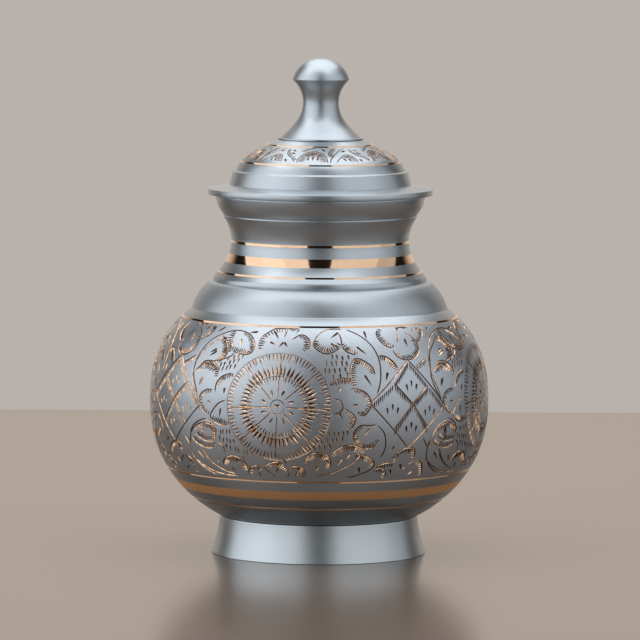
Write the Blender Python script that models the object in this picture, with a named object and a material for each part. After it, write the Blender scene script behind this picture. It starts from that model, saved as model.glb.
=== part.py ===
"""Lidded cremation urn of turned brass sheet with a pewter finish.

Four pieces stand on one upright axis: a flared foot ring, the hollow vessel, the lid that lifts off,
and the turned knob on top of the lid. The object stands on z = 0 and its front medallion faces -Y.
"""

import math

import bmesh
import bpy
from mathutils import Vector

MM = 0.001

# Facets of the turned pieces and of their outlines
SEGMENTS = 48
KNOB_SEGMENTS = 28
BELLY_STEPS = 7
BELLY_TURN = math.radians(62)
ARC_STEP = math.radians(22)
FOOT_ARC_STEP = math.radians(5)
KNOB_ARC_STEP = math.radians(16)
INNER_ARC_STEP = math.radians(34)
INNER_BELLY_STEPS = 4

# Touching pieces stay this far apart
SEAT_GAP = 0.3 * MM

# Foot ring
FOOT_HEIGHT = 21.2 * MM
FOOT_FLARE = 4.7 * MM
FOOT_SIDE_RADIUS = 80 * MM
FOOT_INSET = 0.4 * MM
FOOT_WALL = 2.2 * MM
FOOT_SHELF_WIDTH = 8 * MM
FOOT_TREAD_WIDTH = 4.5 * MM
FOOT_TREAD_HEIGHT = 2.5 * MM

# Vessel, from its flat bottom to its rim
WALL = 1.6 * MM
BELLY_RADIUS = 95 * MM
BELLY_RISE = 64.7 * MM
LOWER_REACH = 76.8 * MM
LOWER_SQUARENESS = 2.19
UPPER_REACH = 69.6 * MM
UPPER_SQUARENESS = 2.36
LEDGE_RISE = 51.7 * MM
SHOULDER_HEIGHT = 15 * MM
SHOULDER_ROUND = 18.2 * MM
STEP_HEIGHT = 1.9 * MM
STEP_INSET = 10.7 * MM
NECK_INSET = 10.5 * MM
NECK_SWEEP = 24.6 * MM
LIP_FLARE = 4.6 * MM
LIP_HEIGHT = 0.7 * MM
LIP_SETBACK = 0.4 * MM
COLLAR_HEIGHT = 11 * MM
COLLAR_FLARE = 4.7 * MM
COLLAR_ROUND = 18.1 * MM

# Lid
LID_WALL = 1.8 * MM
BRIM_OVERHANG = 4.1 * MM
BRIM_THICKNESS = 3.2 * MM
BRIM_RISE = 2.3 * MM
BRIM_WIDTH = 11.8 * MM
DRUM_HEIGHT = 7.4 * MM
DRUM_TAPER = 2 * MM
LEDGE_WIDTH = 1.7 * MM
LEDGE_HEIGHT = 0.6 * MM
DOME_ROUND = 17.4 * MM
DOME_START = math.radians(19)
DOME_END = math.radians(63)
SPIGOT_HEIGHT = 11 * MM
SPIGOT_CLEARANCE = 0.6 * MM

# Knob on the lid
KNOB_SEAT_MARGIN = 0.5 * MM
KNOB_BASE_RADIUS = 23.9 * MM
KNOB_BASE_EDGE = 0.7 * MM
KNOB_WAIST_RADIUS = 10 * MM
KNOB_LOWER_SWEEP = 19.5 * MM
KNOB_LOWER_TURN = math.radians(58)
KNOB_UPPER_SWEEP = 17.3 * MM
KNOB_UPPER_TURN = math.radians(46.5)
KNOB_EDGE = 0.5 * MM
KNOB_CAP_HEIGHT = 11.8 * MM

# Carving on the belly: four medallions with a diamond lattice between each two
PANELS = 4
CARVING_RISE = 4.7 * MM
MEDALLION_RADIUS = 30 * MM
MEDALLION_EYE_RADIUS = 17.2 * MM
RING_POINTS = 20
LATTICE_HALF_WIDTH = 24 * MM
LATTICE_LINES = 3
LINE_POINTS = 6
CUT_DEPTH = 0.9 * MM
CUT_WIDTH = 1.7 * MM
CUT_LIFT = 0.9 * MM
SLOPE_STEP = 0.1 * MM


def arc(start, end, radius, step=ARC_STEP):
    """Points after start, up to end, on an arc of this radius.

    Both ends are (r, z). Seen with r to the right and z up, a positive radius bulges to the right of
    the way from start to end, which is outwards on a profile that climbs.
    """
    (r0, z0), (r1, z1) = start, end
    chord = math.hypot(r1 - r0, z1 - z0)
    size = max(abs(radius), chord / 2)
    side = math.copysign(1, radius)
    drop = math.sqrt(size ** 2 - chord ** 2 / 4)
    across = ((z1 - z0) / chord, -(r1 - r0) / chord)
    centre_r = (r0 + r1) / 2 - side * across[0] * drop
    centre_z = (z0 + z1) / 2 - side * across[1] * drop
    first = math.atan2(z0 - centre_z, r0 - centre_r)
    turn = side * 2 * math.asin(chord / 2 / size)
    count = max(1, round(abs(turn) / step))
    return [
        (
            centre_r + size * math.cos(first + turn * i / count),
            centre_z + size * math.sin(first + turn * i / count),
        )
        for i in range(1, count + 1)
    ]


def belly_radius(height):
    """Radius of the belly at a height above its widest line, below it when negative."""
    if height < 0:
        reach, squareness = LOWER_REACH, LOWER_SQUARENESS
    else:
        reach, squareness = UPPER_REACH, UPPER_SQUARENESS
    share = min(abs(height) / reach, 1)
    return BELLY_RADIUS * (1 - share ** squareness) ** (1 / squareness)


def belly_outline(widest, lowest, highest, steps):
    """Points (r, z) up the belly, closer together towards its ends, where it turns faster."""
    points = []
    for reach, first, last in ((lowest, -steps, 0), (highest, 1, steps)):
        for i in range(first, last + 1):
            height = reach * math.sin(abs(i) / steps * BELLY_TURN) / math.sin(BELLY_TURN)
            points.append((belly_radius(height), widest + height))
    return points


def vessel_levels():
    """Heights and radii that the vessel's own pieces and its neighbours share."""
    base = FOOT_HEIGHT + SEAT_GAP
    widest = base + BELLY_RISE
    ledge = (belly_radius(LEDGE_RISE), widest + LEDGE_RISE)
    step_foot = (ledge[0] - STEP_INSET, ledge[1] + SHOULDER_HEIGHT)
    step_top = (step_foot[0], step_foot[1] + STEP_HEIGHT)
    waist_radius = step_top[0] - NECK_INSET
    below_waist = math.sqrt(NECK_SWEEP ** 2 - (NECK_SWEEP - NECK_INSET) ** 2)
    above_waist = math.sqrt(NECK_SWEEP ** 2 - (NECK_SWEEP - LIP_FLARE) ** 2)
    waist = (waist_radius, step_top[1] + below_waist)
    lip = (waist_radius + LIP_FLARE, waist[1] + above_waist)
    collar_foot = (lip[0] - LIP_SETBACK, lip[1] + LIP_HEIGHT)
    rim = (collar_foot[0] + COLLAR_FLARE, collar_foot[1] + COLLAR_HEIGHT)
    return {
        "base": (belly_radius(-BELLY_RISE), base),
        "widest": widest,
        "ledge": ledge,
        "step_foot": step_foot,
        "step_top": step_top,
        "waist": waist,
        "lip": lip,
        "collar_foot": collar_foot,
        "rim": rim,
    }


def vessel_profile():
    """The vessel's section: up the inside from the axis, over the rim and down the outside."""
    at = vessel_levels()
    outer = belly_outline(at["widest"], -BELLY_RISE, LEDGE_RISE, BELLY_STEPS)
    outer += arc(at["ledge"], at["step_foot"], SHOULDER_ROUND)
    outer.append(at["step_top"])
    outer += arc(at["step_top"], at["waist"], -NECK_SWEEP)
    outer += arc(at["waist"], at["lip"], -NECK_SWEEP)
    outer.append(at["collar_foot"])
    outer += arc(at["collar_foot"], at["rim"], COLLAR_ROUND)

    smooth = belly_outline(at["widest"], -BELLY_RISE, LEDGE_RISE, INNER_BELLY_STEPS)
    smooth += arc(at["ledge"], at["step_foot"], SHOULDER_ROUND, INNER_ARC_STEP)
    smooth += arc(at["step_foot"], at["waist"], -NECK_SWEEP, INNER_ARC_STEP)
    smooth += arc(at["waist"], at["lip"], -NECK_SWEEP, INNER_ARC_STEP)
    smooth += arc(at["lip"], at["rim"], COLLAR_ROUND, INNER_ARC_STEP)
    inner = set_in(smooth, WALL)
    floor = at["base"][1] + WALL
    inner[0] = (inner[0][0], floor)
    inner[-1] = (inner[-1][0], at["rim"][1])
    return [(0, floor)] + inner + outer[::-1] + [(0, at["base"][1])]


def set_in(points, wall):
    """The same line moved towards the axis by a wall, square to itself. It climbs along its length."""
    moved = []
    for i, (r, z) in enumerate(points):
        before = points[max(i - 1, 0)]
        after = points[min(i + 1, len(points) - 1)]
        along = Vector((after[0] - before[0], after[1] - before[1])).normalized()
        moved.append((r - wall * along.y, z + wall * along.x))
    return moved


def foot_profile():
    """The foot ring's section: turned-in shelf on top, hollow side, and a thicker tread below."""
    top_radius = vessel_levels()["base"][0] - FOOT_INSET
    bottom_radius = top_radius + FOOT_FLARE
    bottom = (bottom_radius, 0)
    side = arc(bottom, (top_radius, FOOT_HEIGHT), -FOOT_SIDE_RADIUS, FOOT_ARC_STEP)
    inner_top = FOOT_HEIGHT - FOOT_WALL
    side_share = FOOT_TREAD_HEIGHT / FOOT_HEIGHT
    inner_bottom_radius = bottom_radius - FOOT_FLARE * side_share - FOOT_WALL
    shelf_radius = top_radius - FOOT_SHELF_WIDTH
    tread_radius = bottom_radius - FOOT_TREAD_WIDTH
    return [
        (tread_radius, 0),
        (tread_radius, FOOT_TREAD_HEIGHT),
        (inner_bottom_radius, FOOT_TREAD_HEIGHT),
        (top_radius - FOOT_WALL, inner_top),
        (shelf_radius, inner_top),
        (shelf_radius, FOOT_HEIGHT),
    ] + side[::-1] + [bottom]


def lid_levels():
    """Heights and radii of the lid, all taken from the rim that it rests on."""
    rim_radius, rim_height = vessel_levels()["rim"]
    underside = rim_height + SEAT_GAP
    brim_radius = rim_radius + BRIM_OVERHANG
    drum_foot = (brim_radius - BRIM_WIDTH, underside + BRIM_THICKNESS + BRIM_RISE)
    drum_top = (drum_foot[0] - DRUM_TAPER, drum_foot[1] + DRUM_HEIGHT)
    dome_foot = (drum_top[0] - LEDGE_WIDTH, drum_top[1] + LEDGE_HEIGHT)
    dome_turn = (
        dome_foot[0] - DOME_ROUND * (math.cos(DOME_START) - math.cos(DOME_END)),
        dome_foot[1] + DOME_ROUND * (math.sin(DOME_END) - math.sin(DOME_START)),
    )
    seat_radius = KNOB_BASE_RADIUS + KNOB_SEAT_MARGIN
    slope = math.tan(math.pi / 2 - DOME_END)
    seat = (seat_radius, dome_turn[1] + (dome_turn[0] - seat_radius) * slope)
    return {
        "underside": underside,
        "brim": (brim_radius, underside + BRIM_THICKNESS),
        "drum_foot": drum_foot,
        "drum_top": drum_top,
        "dome_foot": dome_foot,
        "dome_turn": dome_turn,
        "seat": seat,
    }


def lid_profile():
    """The lid's section: up the inside of the spigot and the dome, then down the outside."""
    at = lid_levels()
    vessel = vessel_levels()
    underside = at["underside"]
    dome = [at["drum_foot"], at["drum_top"], at["dome_foot"]]
    dome += arc(at["dome_foot"], at["dome_turn"], DOME_ROUND)
    dome.append(at["seat"])

    spigot_outer = vessel["lip"][0] - WALL - SPIGOT_CLEARANCE
    spigot_inner = spigot_outer - LID_WALL
    spigot_foot = underside - SPIGOT_HEIGHT
    smooth = [at["drum_foot"], at["drum_top"]]
    smooth += arc(at["dome_foot"], at["dome_turn"], DOME_ROUND, INNER_ARC_STEP)
    smooth.append(at["seat"])
    inner = set_in(smooth, LID_WALL)
    ceiling = at["seat"][1] - LID_WALL
    inner[-1] = (inner[-1][0], ceiling)
    inside = [(spigot_inner, spigot_foot), (spigot_inner, inner[0][1])] + inner[1:] + [(0, ceiling)]
    outside = [(0, at["seat"][1])] + dome[::-1] + [
        at["brim"],
        (at["brim"][0], underside),
        (spigot_outer, underside),
        (spigot_outer, spigot_foot),
    ]
    return outside + inside


def knob_profile():
    """The solid knob's section: down the outside, from the top of its cap to its flat base."""
    base = lid_levels()["seat"][1] + SEAT_GAP
    edge = (KNOB_BASE_RADIUS, base + KNOB_BASE_EDGE)
    flare_radius = KNOB_WAIST_RADIUS + KNOB_LOWER_SWEEP * (1 - math.cos(KNOB_LOWER_TURN))
    flare_rise = (edge[0] - flare_radius) / math.tan(KNOB_LOWER_TURN)
    flare = (flare_radius, edge[1] + flare_rise)
    waist = (KNOB_WAIST_RADIUS, flare[1] + KNOB_LOWER_SWEEP * math.sin(KNOB_LOWER_TURN))
    under_cap = (
        KNOB_WAIST_RADIUS + KNOB_UPPER_SWEEP * (1 - math.cos(KNOB_UPPER_TURN)),
        waist[1] + KNOB_UPPER_SWEEP * math.sin(KNOB_UPPER_TURN),
    )
    cap_edge = (under_cap[0] + KNOB_EDGE, under_cap[1] + KNOB_EDGE)
    cap_round = (KNOB_CAP_HEIGHT ** 2 + cap_edge[0] ** 2) / (2 * KNOB_CAP_HEIGHT)
    outer = [(KNOB_BASE_RADIUS, base), edge, flare]
    outer += arc(flare, waist, -KNOB_LOWER_SWEEP, KNOB_ARC_STEP)
    outer += arc(waist, under_cap, -KNOB_UPPER_SWEEP, KNOB_ARC_STEP)
    outer.append(cap_edge)
    outer += arc(cap_edge, (0, cap_edge[1] + KNOB_CAP_HEIGHT), cap_round, KNOB_ARC_STEP)
    return outer[::-1] + [(0, base)]


def finish(name, color, roughness):
    """A metal finish: one Principled BSDF."""
    material = bpy.data.materials.new(name)
    material.use_nodes = True
    shader = material.node_tree.nodes["Principled BSDF"]
    shader.inputs["Base Color"].default_value = (*color, 1)
    shader.inputs["Metallic"].default_value = 1
    shader.inputs["Roughness"].default_value = roughness
    return material


def add_object(name, mesh):
    """Put a mesh in the scene under this name."""
    thing = bpy.data.objects.new(name, mesh)
    bpy.context.scene.collection.objects.link(thing)
    return thing


def turned(name, profile, segments, material, closed=False):
    """A piece turned about the upright axis from its section, given as (r, z) points."""
    mesh = bpy.data.meshes.new(name)
    edges = [(i, i + 1) for i in range(len(profile) - 1)]
    if closed:
        edges.append((len(profile) - 1, 0))
    mesh.from_pydata([(r, 0, z) for r, z in profile], edges, [])
    mesh.materials.append(material)
    thing = add_object(name, mesh)
    screw = thing.modifiers.new("turn", "SCREW")
    screw.angle = 2 * math.pi
    screw.steps = segments
    screw.render_steps = segments
    screw.use_merge_vertices = True
    screw.merge_threshold = 0.01 * MM
    screw.use_smooth_shade = True
    return thing


def belly_point(azimuth, rise, lift):
    """A point at this height above the widest line, standing off the belly by lift, square to it."""
    widest = vessel_levels()["widest"]
    above, below = belly_radius(rise + SLOPE_STEP), belly_radius(rise - SLOPE_STEP)
    slope = (above - below) / (2 * SLOPE_STEP)
    outwards = Vector((1, -slope)).normalized()
    r = belly_radius(rise) + lift * outwards.x
    z = widest + rise + lift * outwards.y
    return Vector((r * math.sin(azimuth), -r * math.cos(azimuth), z))


def panel_point(centre, across, up):
    """Azimuth and height of a carved point, from its place on a panel laid flat."""
    rise = CARVING_RISE + up
    return centre + across / belly_radius(rise), rise


def cut_along(shape, path, closed):
    """Add a three-cornered bar to shape, whose lower corner runs below the surface along the path."""
    half = CUT_WIDTH / 2 * (CUT_DEPTH + CUT_LIFT) / CUT_DEPTH
    count = len(path)
    rings = []
    for i, (azimuth, rise) in enumerate(path):
        before = belly_point(*path[i - 1 if closed else max(i - 1, 0)], 0)
        after = belly_point(*path[(i + 1) % count if closed else min(i + 1, count - 1)], 0)
        below = belly_point(azimuth, rise, -CUT_DEPTH)
        above = belly_point(azimuth, rise, CUT_LIFT)
        side = (after - before).cross(above - below).normalized() * half
        rings.append([shape.verts.new(p) for p in (below, above + side, above - side)])
    for i in range(count if closed else count - 1):
        here, there = rings[i], rings[(i + 1) % count]
        for k in range(3):
            shape.faces.new((here[k], here[k - 1], there[k - 1], there[k]))
    if not closed:
        shape.faces.new(rings[0])
        shape.faces.new(rings[-1][::-1])


def medallion_rings(shape, centre):
    """The two compass circles of one medallion."""
    for radius in (MEDALLION_RADIUS, MEDALLION_EYE_RADIUS):
        path = []
        for i in range(RING_POINTS):
            turn = 2 * math.pi * i / RING_POINTS
            path.append(panel_point(centre, radius * math.cos(turn), radius * math.sin(turn)))
        cut_along(shape, path, closed=True)


def lattice_lines(shape, centre, lean):
    """The parallel lines of one diamond lattice that lean this way, 1 or -1."""
    half = LATTICE_HALF_WIDTH
    for line in range(LATTICE_LINES):
        shift = half * line / (LATTICE_LINES - 1)
        path = []
        for i in range(LINE_POINTS):
            run = half * i / (LINE_POINTS - 1)
            path.append(panel_point(centre, lean * (shift - run), run + shift - half))
        cut_along(shape, path, closed=False)


def cutter(name, draw, turn):
    """A hidden cutter: the marks that draw makes, at each of the panels round the belly."""
    shape = bmesh.new()
    for panel in range(PANELS):
        draw(shape, 2 * math.pi * panel / PANELS + turn)
    bmesh.ops.recalc_face_normals(shape, faces=shape.faces)
    mesh = bpy.data.meshes.new(name)
    shape.to_mesh(mesh)
    shape.free()
    thing = add_object(name, mesh)
    thing.hide_render = True
    thing.display_type = "WIRE"
    return thing


def carve(vessel):
    """Cut the medallions and the lattices into the vessel's belly."""
    between = math.pi / PANELS
    cuts = (
        cutter("medallion_cuts", medallion_rings, 0),
        cutter("lattice_cuts_right", lambda shape, at: lattice_lines(shape, at, 1), between),
        cutter("lattice_cuts_left", lambda shape, at: lattice_lines(shape, at, -1), between),
    )
    for cut in cuts:
        boolean = vessel.modifiers.new(cut.name, "BOOLEAN")
        boolean.operation = "DIFFERENCE"
        boolean.object = cut


def main():
    for thing in list(bpy.data.objects):
        bpy.data.objects.remove(thing)
    satin = finish("satin_pewter", (0.58, 0.62, 0.65), 0.34)
    engraved = finish("engraved_pewter", (0.53, 0.57, 0.6), 0.4)
    lid_finish = finish("lid_pewter", (0.6, 0.64, 0.67), 0.32)
    polished = finish("polished_pewter", (0.62, 0.66, 0.7), 0.24)
    turned("foot_ring", foot_profile(), SEGMENTS, satin, closed=True)
    vessel = turned("urn_vessel", vessel_profile(), SEGMENTS, engraved)
    carve(vessel)
    turned("lid", lid_profile(), SEGMENTS, lid_finish)
    turned("lid_knob", knob_profile(), KNOB_SEGMENTS, polished)


main()
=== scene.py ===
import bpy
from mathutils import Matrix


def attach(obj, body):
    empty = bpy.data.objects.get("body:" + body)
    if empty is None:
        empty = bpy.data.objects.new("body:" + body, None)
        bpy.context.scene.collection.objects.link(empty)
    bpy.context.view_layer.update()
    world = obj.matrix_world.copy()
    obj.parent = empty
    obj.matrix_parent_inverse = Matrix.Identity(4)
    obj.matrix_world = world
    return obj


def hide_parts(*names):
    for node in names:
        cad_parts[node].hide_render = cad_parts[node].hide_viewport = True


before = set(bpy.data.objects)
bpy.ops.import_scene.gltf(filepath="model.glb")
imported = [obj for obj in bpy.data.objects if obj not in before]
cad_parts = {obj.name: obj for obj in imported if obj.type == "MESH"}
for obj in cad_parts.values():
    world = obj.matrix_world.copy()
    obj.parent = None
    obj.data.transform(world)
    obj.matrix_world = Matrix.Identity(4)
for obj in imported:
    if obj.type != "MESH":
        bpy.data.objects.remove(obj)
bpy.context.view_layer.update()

"""Lidded cremation urn in satin pewter, engraved through to the copper colour under the finish.

Four turned pieces stand over the frame's own: foot ring, vessel, lid and knob. The belly and the
dome of the lid carry graver cuts, laid out on the surface unrolled flat and pressed into it.
"""

import logging
import math
import random
from dataclasses import dataclass, field
from enum import Enum
from typing import Any, Callable

import bmesh
import bpy
import numpy as np
from mathutils import Matrix, Vector
from mathutils.geometry import delaunay_2d_cdt

MM = 0.001
Point = tuple[float, float]
log = logging.getLogger("urn")


class Side(Enum):
    """Which side of a line a comb of short cuts stands on, seen along the line."""

    LEFT = 1
    RIGHT = -1


class Slot(Enum):
    """Places in the pieces' material lists."""

    PEWTER = 0
    BAND = 1
    CUT = 2
    GROUND = 3
    INSIDE = 4
    # SHADE holds one wall of each graver cut, given near-black copper as painted shade.
    SHADE = 5
    LOW_BAND = 6
    SHOULDER = 7


ENGRAVED_SLOTS = (Slot.CUT.value, Slot.SHADE.value)


# ---------------------------------------------------------------- shader writing


class Wire:
    """One shader socket, so that shader maths reads as plain expressions."""

    def __init__(self, sheet: "NodeSheet", socket: bpy.types.NodeSocket) -> None:
        """Keep the socket and the sheet that it is on."""
        self.sheet = sheet
        self.socket = socket

    def _math(self, operation: str, first: Any, second: Any = 0.0) -> "Wire":
        """Add one Math node.

        Args:
            operation: The Math node's operation.
            first: A wire or a number.
            second: A wire or a number.

        Returns:
            The node's output.
        """
        return self.sheet.node(
            "ShaderNodeMath", {"operation": operation}, {0: first, 1: second}
        )

    def __add__(self, other: Any) -> "Wire":
        """Sum."""
        return self._math("ADD", self, other)

    __radd__ = __add__

    def __sub__(self, other: Any) -> "Wire":
        """Difference."""
        return self._math("SUBTRACT", self, other)

    def __rsub__(self, other: Any) -> "Wire":
        """Difference, the other way round."""
        return self._math("SUBTRACT", other, self)

    def __mul__(self, other: Any) -> "Wire":
        """Product."""
        return self._math("MULTIPLY", self, other)

    __rmul__ = __mul__

    def __truediv__(self, other: Any) -> "Wire":
        """Quotient."""
        return self._math("DIVIDE", self, other)

    def __pow__(self, other: Any) -> "Wire":
        """Power."""
        return self._math("POWER", self, other)

    def above(self, level: float, soft: float) -> "Wire":
        """A mask that climbs from 0 to 1 around a level.

        Args:
            level: The middle of the climb.
            soft: Half the width of the climb.

        Returns:
            The mask.
        """
        return self.sheet.node(
            "ShaderNodeMapRange",
            {"interpolation_type": "SMOOTHSTEP"},
            {"Value": self, "From Min": level - soft, "From Max": level + soft},
        )


class NodeSheet:
    """The node tree of one material, with its surface shader."""

    def __init__(self, name: str) -> None:
        """Start a material.

        Args:
            name: The material's name.
        """
        self.material = bpy.data.materials.new(name)
        self.material.use_nodes = True
        self.tree = self.material.node_tree
        self.shader = self.tree.nodes["Principled BSDF"]

    def node(
        self,
        kind: str,
        settings: dict[str, Any] | None = None,
        values: dict[Any, Any] | None = None,
        output: Any = 0,
    ) -> Wire:
        """Add a node.

        Args:
            kind: The node's type.
            settings: Its properties, and the stops of a ramp as (place, colour) pairs.
            values: Numbers, colours or wires for its sockets.
            output: The socket that is handed back.

        Returns:
            The chosen output.
        """
        made = self.tree.nodes.new(kind)
        for name, value in (settings or {}).items():
            if name == "stops":
                stops = made.color_ramp.elements
                while len(stops) < len(value):
                    stops.new(0.5)
                for stop, (place, colour) in zip(stops, value):
                    stop.position = place
                    stop.color = (*colour, 1)
            else:
                setattr(made, name, value)
        for name, value in (values or {}).items():
            self.join(value, made.inputs[name])
        return Wire(self, made.outputs[output])

    def join(self, value: Any, socket: bpy.types.NodeSocket) -> None:
        """Give a socket a wire or a fixed value.

        Args:
            value: A wire, a number or a tuple.
            socket: The socket that takes it.
        """
        if isinstance(value, Wire):
            self.tree.links.new(value.socket, socket)
        elif isinstance(value, tuple) and len(value) == 3 and socket.type == "RGBA":
            socket.default_value = (*value, 1)
        else:
            socket.default_value = value

    def set(self, **values: Any) -> None:
        """Set the surface shader's sockets, written with _ for a space."""
        for name, value in values.items():
            self.join(value, self.shader.inputs[name.replace("_", " ")])

    def blend(self, share: Any, first: Any, second: Any) -> Wire:
        """Mix two colours.

        Args:
            share: How much of the second colour.
            first: Colour or wire.
            second: Colour or wire.

        Returns:
            The mixed colour.
        """
        made = self.tree.nodes.new("ShaderNodeMix")
        made.data_type = "RGBA"
        self.join(share, made.inputs["Factor"])
        for value, place in ((first, 6), (second, 7)):
            self.join(value, made.inputs[place])
        return Wire(self, made.outputs[2])

    def place(self) -> Wire:
        """The point on the piece, in metres."""
        return self.node("ShaderNodeTexCoord", output="Object")

    def noise(self, where: Wire, scale: float, detail: float = 2.0, rough: float = 0.5) -> Wire:
        """Plain noise.

        Args:
            where: The point that it is read at.
            scale: Features for each metre.
            detail: How many finer layers it has.
            rough: How strong the finer layers are.

        Returns:
            The noise, around 0.5.
        """
        return self.node(
            "ShaderNodeTexNoise",
            {},
            {"Vector": where, "Scale": scale, "Detail": detail, "Roughness": rough},
        )

    def rings(self, where: Wire, scale: float, detail: float = 3.0) -> Wire:
        """Noise that is the same all the way round the upright axis, as a turning tool leaves it.

        Args:
            where: The point on the piece.
            scale: Rings for each metre of profile.
            detail: How many finer layers it has.

        Returns:
            The noise, around 0.5.
        """
        apart = self.tree.nodes.new("ShaderNodeSeparateXYZ")
        self.join(where, apart.inputs[0])
        x, y, z = (Wire(self, apart.outputs[i]) for i in range(3))
        radius = (x * x + y * y) ** 0.5
        flat = self.node("ShaderNodeCombineXYZ", {}, {0: radius, 1: z})
        return self.noise(flat, scale, detail, 0.6)

    def bump(self, height: Wire, distance: float, strength: float = 1.0) -> Wire:
        """A bumped normal.

        Args:
            height: The relief, from 0 to 1.
            distance: Its depth in metres.
            strength: Its share.

        Returns:
            The normal.
        """
        return self.node(
            "ShaderNodeBump", {}, {"Height": height, "Distance": distance, "Strength": strength}
        )


# ---------------------------------------------------------------- finishes


@dataclass(frozen=True)
class Pewter:
    """Satin pewter finish over turned brass."""

    name: str
    colour: tuple[float, float, float]
    roughness: float
    ring_depth: float = 0.00002
    grain_depth: float = 0.0
    sheen: float = 0.45

    def make(self) -> bpy.types.Material:
        """Build the material: turning lines, faint clouding and, where it has one, a matted grain."""
        sheet = NodeSheet(self.name)
        where = sheet.place()
        fine = sheet.rings(where, 1500, 4.0)
        broad = sheet.rings(where, 260, 2.0)
        cloud = sheet.noise(where, 34, 3.0, 0.55)
        tone = (fine - 0.5) * 0.10 + (broad - 0.5) * 0.10 + (cloud - 0.5) * 0.16 + 0.5
        dull = tuple(c * 0.86 for c in self.colour)
        clean = tuple(min(1.0, c * 1.12) for c in self.colour)
        colour = sheet.blend(tone, dull, clean)
        rough = (fine - 0.5) * 0.10 + (cloud - 0.5) * 0.12 + self.roughness
        relief = fine * 0.7 + broad * 0.3
        normal = sheet.bump(relief, self.ring_depth)
        if self.grain_depth:
            grain = sheet.noise(where, 1150, 3.0, 0.65)
            colour = sheet.blend(tone + (grain - 0.5) * 1.5, dull, clean)
            rough = (grain - 0.5) * 0.16 + rough
            normal = sheet.bump(relief * 0.35 + grain, self.grain_depth)
        sheet.set(
            Base_Color=colour, Metallic=1.0, Roughness=rough, Anisotropic=self.sheen, Normal=normal
        )
        return sheet.material


@dataclass(frozen=True)
class Copper:
    """Copper-coloured metal bared under the finish: polished bands and bright graver cuts, and, as a
    near-black copy, painted shade on one wall of each cut.
    """

    name: str
    colour: tuple[float, float, float]
    dark: tuple[float, float, float]
    roughness: float
    sheen: float = 0.0
    relief: float = 0.00001

    def make(self) -> bpy.types.Material:
        """Build the material: bright metal with darker, duller tarnish in patches."""
        sheet = NodeSheet(self.name)
        where = sheet.place()
        patch = sheet.noise(where, 420, 3.0, 0.6).above(0.52, 0.16)
        fine = sheet.rings(where, 1900, 3.0) if self.sheen else sheet.noise(where, 1100, 2.0)
        colour = sheet.blend(patch, self.colour, self.dark)
        rough = (patch * 0.5 + (fine - 0.5) * 0.6 + 1) * self.roughness
        sheet.set(
            Base_Color=colour,
            Metallic=1.0,
            Roughness=rough,
            Anisotropic=self.sheen,
            Normal=sheet.bump(fine, self.relief),
        )
        return sheet.material


SATIN = Pewter("satin_pewter", (0.47, 0.52, 0.56), 0.33, 0.000006, 0.0, 0.3)
ENGRAVED = Pewter("engraved_ground", (0.485, 0.53, 0.58), 0.36, 0.000006, 0.00012, 0.2)
SHOULDER_SATIN = Pewter("shoulder_pewter", (0.47, 0.52, 0.56), 0.4, 0.000006, 0.0, 0.3)
LID_SATIN = Pewter("lid_pewter", (0.48, 0.53, 0.57), 0.34, 0.000006, 0.0, 0.3)
LID_ENGRAVED = Pewter("lid_ground", (0.45, 0.495, 0.53), 0.34, 0.000006, 0.00008, 0.2)
POLISHED = Pewter("knob_pewter", (0.47, 0.52, 0.56), 0.38, 0.000004, 0.0, 0.2)
FOOT_SATIN = Pewter("foot_pewter", (0.50, 0.55, 0.58), 0.32, 0.000006, 0.0, 0.3)
COPPER_BAND = Copper("copper_band", (0.82, 0.56, 0.37), (0.80, 0.54, 0.35), 0.07, 0.05, 0.000001)
COPPER_LOW = Copper("copper_low", (1.0, 0.62, 0.32), (1.0, 0.61, 0.31), 0.46, 0.2, 0.000004)
COPPER_CUT = Copper("copper_cut", (0.95, 0.64, 0.40), (0.36, 0.16, 0.06), 0.2, 0.0, 0.00005)
# Near-black copper for the steep wall of each cut: painted shade, standing in for the shadow inside the cut.
CUT_SHADE = Copper("cut_shade", (0.13, 0.055, 0.022), (0.05, 0.022, 0.01), 0.4, 0.0, 0.00003)
BRASS_INSIDE = Copper("brass_inside", (0.66, 0.52, 0.28), (0.40, 0.30, 0.15), 0.42)


# ---------------------------------------------------------------- turned curves


def arc(start: Point, end: Point, radius: float, step: float = math.radians(3)) -> list[Point]:
    """Points after start, up to end, on an arc.

    Args:
        start: (r, z) where it starts.
        end: (r, z) where it ends.
        radius: Its radius. Positive bulges to the right of the way, outwards on a climbing profile.
        step: The turn from point to point.

    Returns:
        The points.
    """
    (r0, z0), (r1, z1) = start, end
    chord = math.hypot(r1 - r0, z1 - z0)
    size = max(abs(radius), chord / 2)
    side = math.copysign(1, radius)
    drop = math.sqrt(size**2 - chord**2 / 4)
    centre_r = (r0 + r1) / 2 - side * (z1 - z0) / chord * drop
    centre_z = (z0 + z1) / 2 + side * (r1 - r0) / chord * drop
    first = math.atan2(z0 - centre_z, r0 - centre_r)
    turn = side * 2 * math.asin(chord / 2 / size)
    count = max(2, round(abs(turn) / step))
    return [
        (
            centre_r + size * math.cos(first + turn * i / count),
            centre_z + size * math.sin(first + turn * i / count),
        )
        for i in range(1, count + 1)
    ]


def set_in(points: list[Point], wall: float) -> list[Point]:
    """The same climbing line, moved towards the axis square to itself.

    Args:
        points: The line, as (r, z).
        wall: How far it moves.

    Returns:
        The moved line.
    """
    moved = []
    for i, (r, z) in enumerate(points):
        before, after = points[max(i - 1, 0)], points[min(i + 1, len(points) - 1)]
        along = Vector((after[0] - before[0], after[1] - before[1])).normalized()
        moved.append((r - wall * along.y, z + wall * along.x))
    return moved


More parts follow.
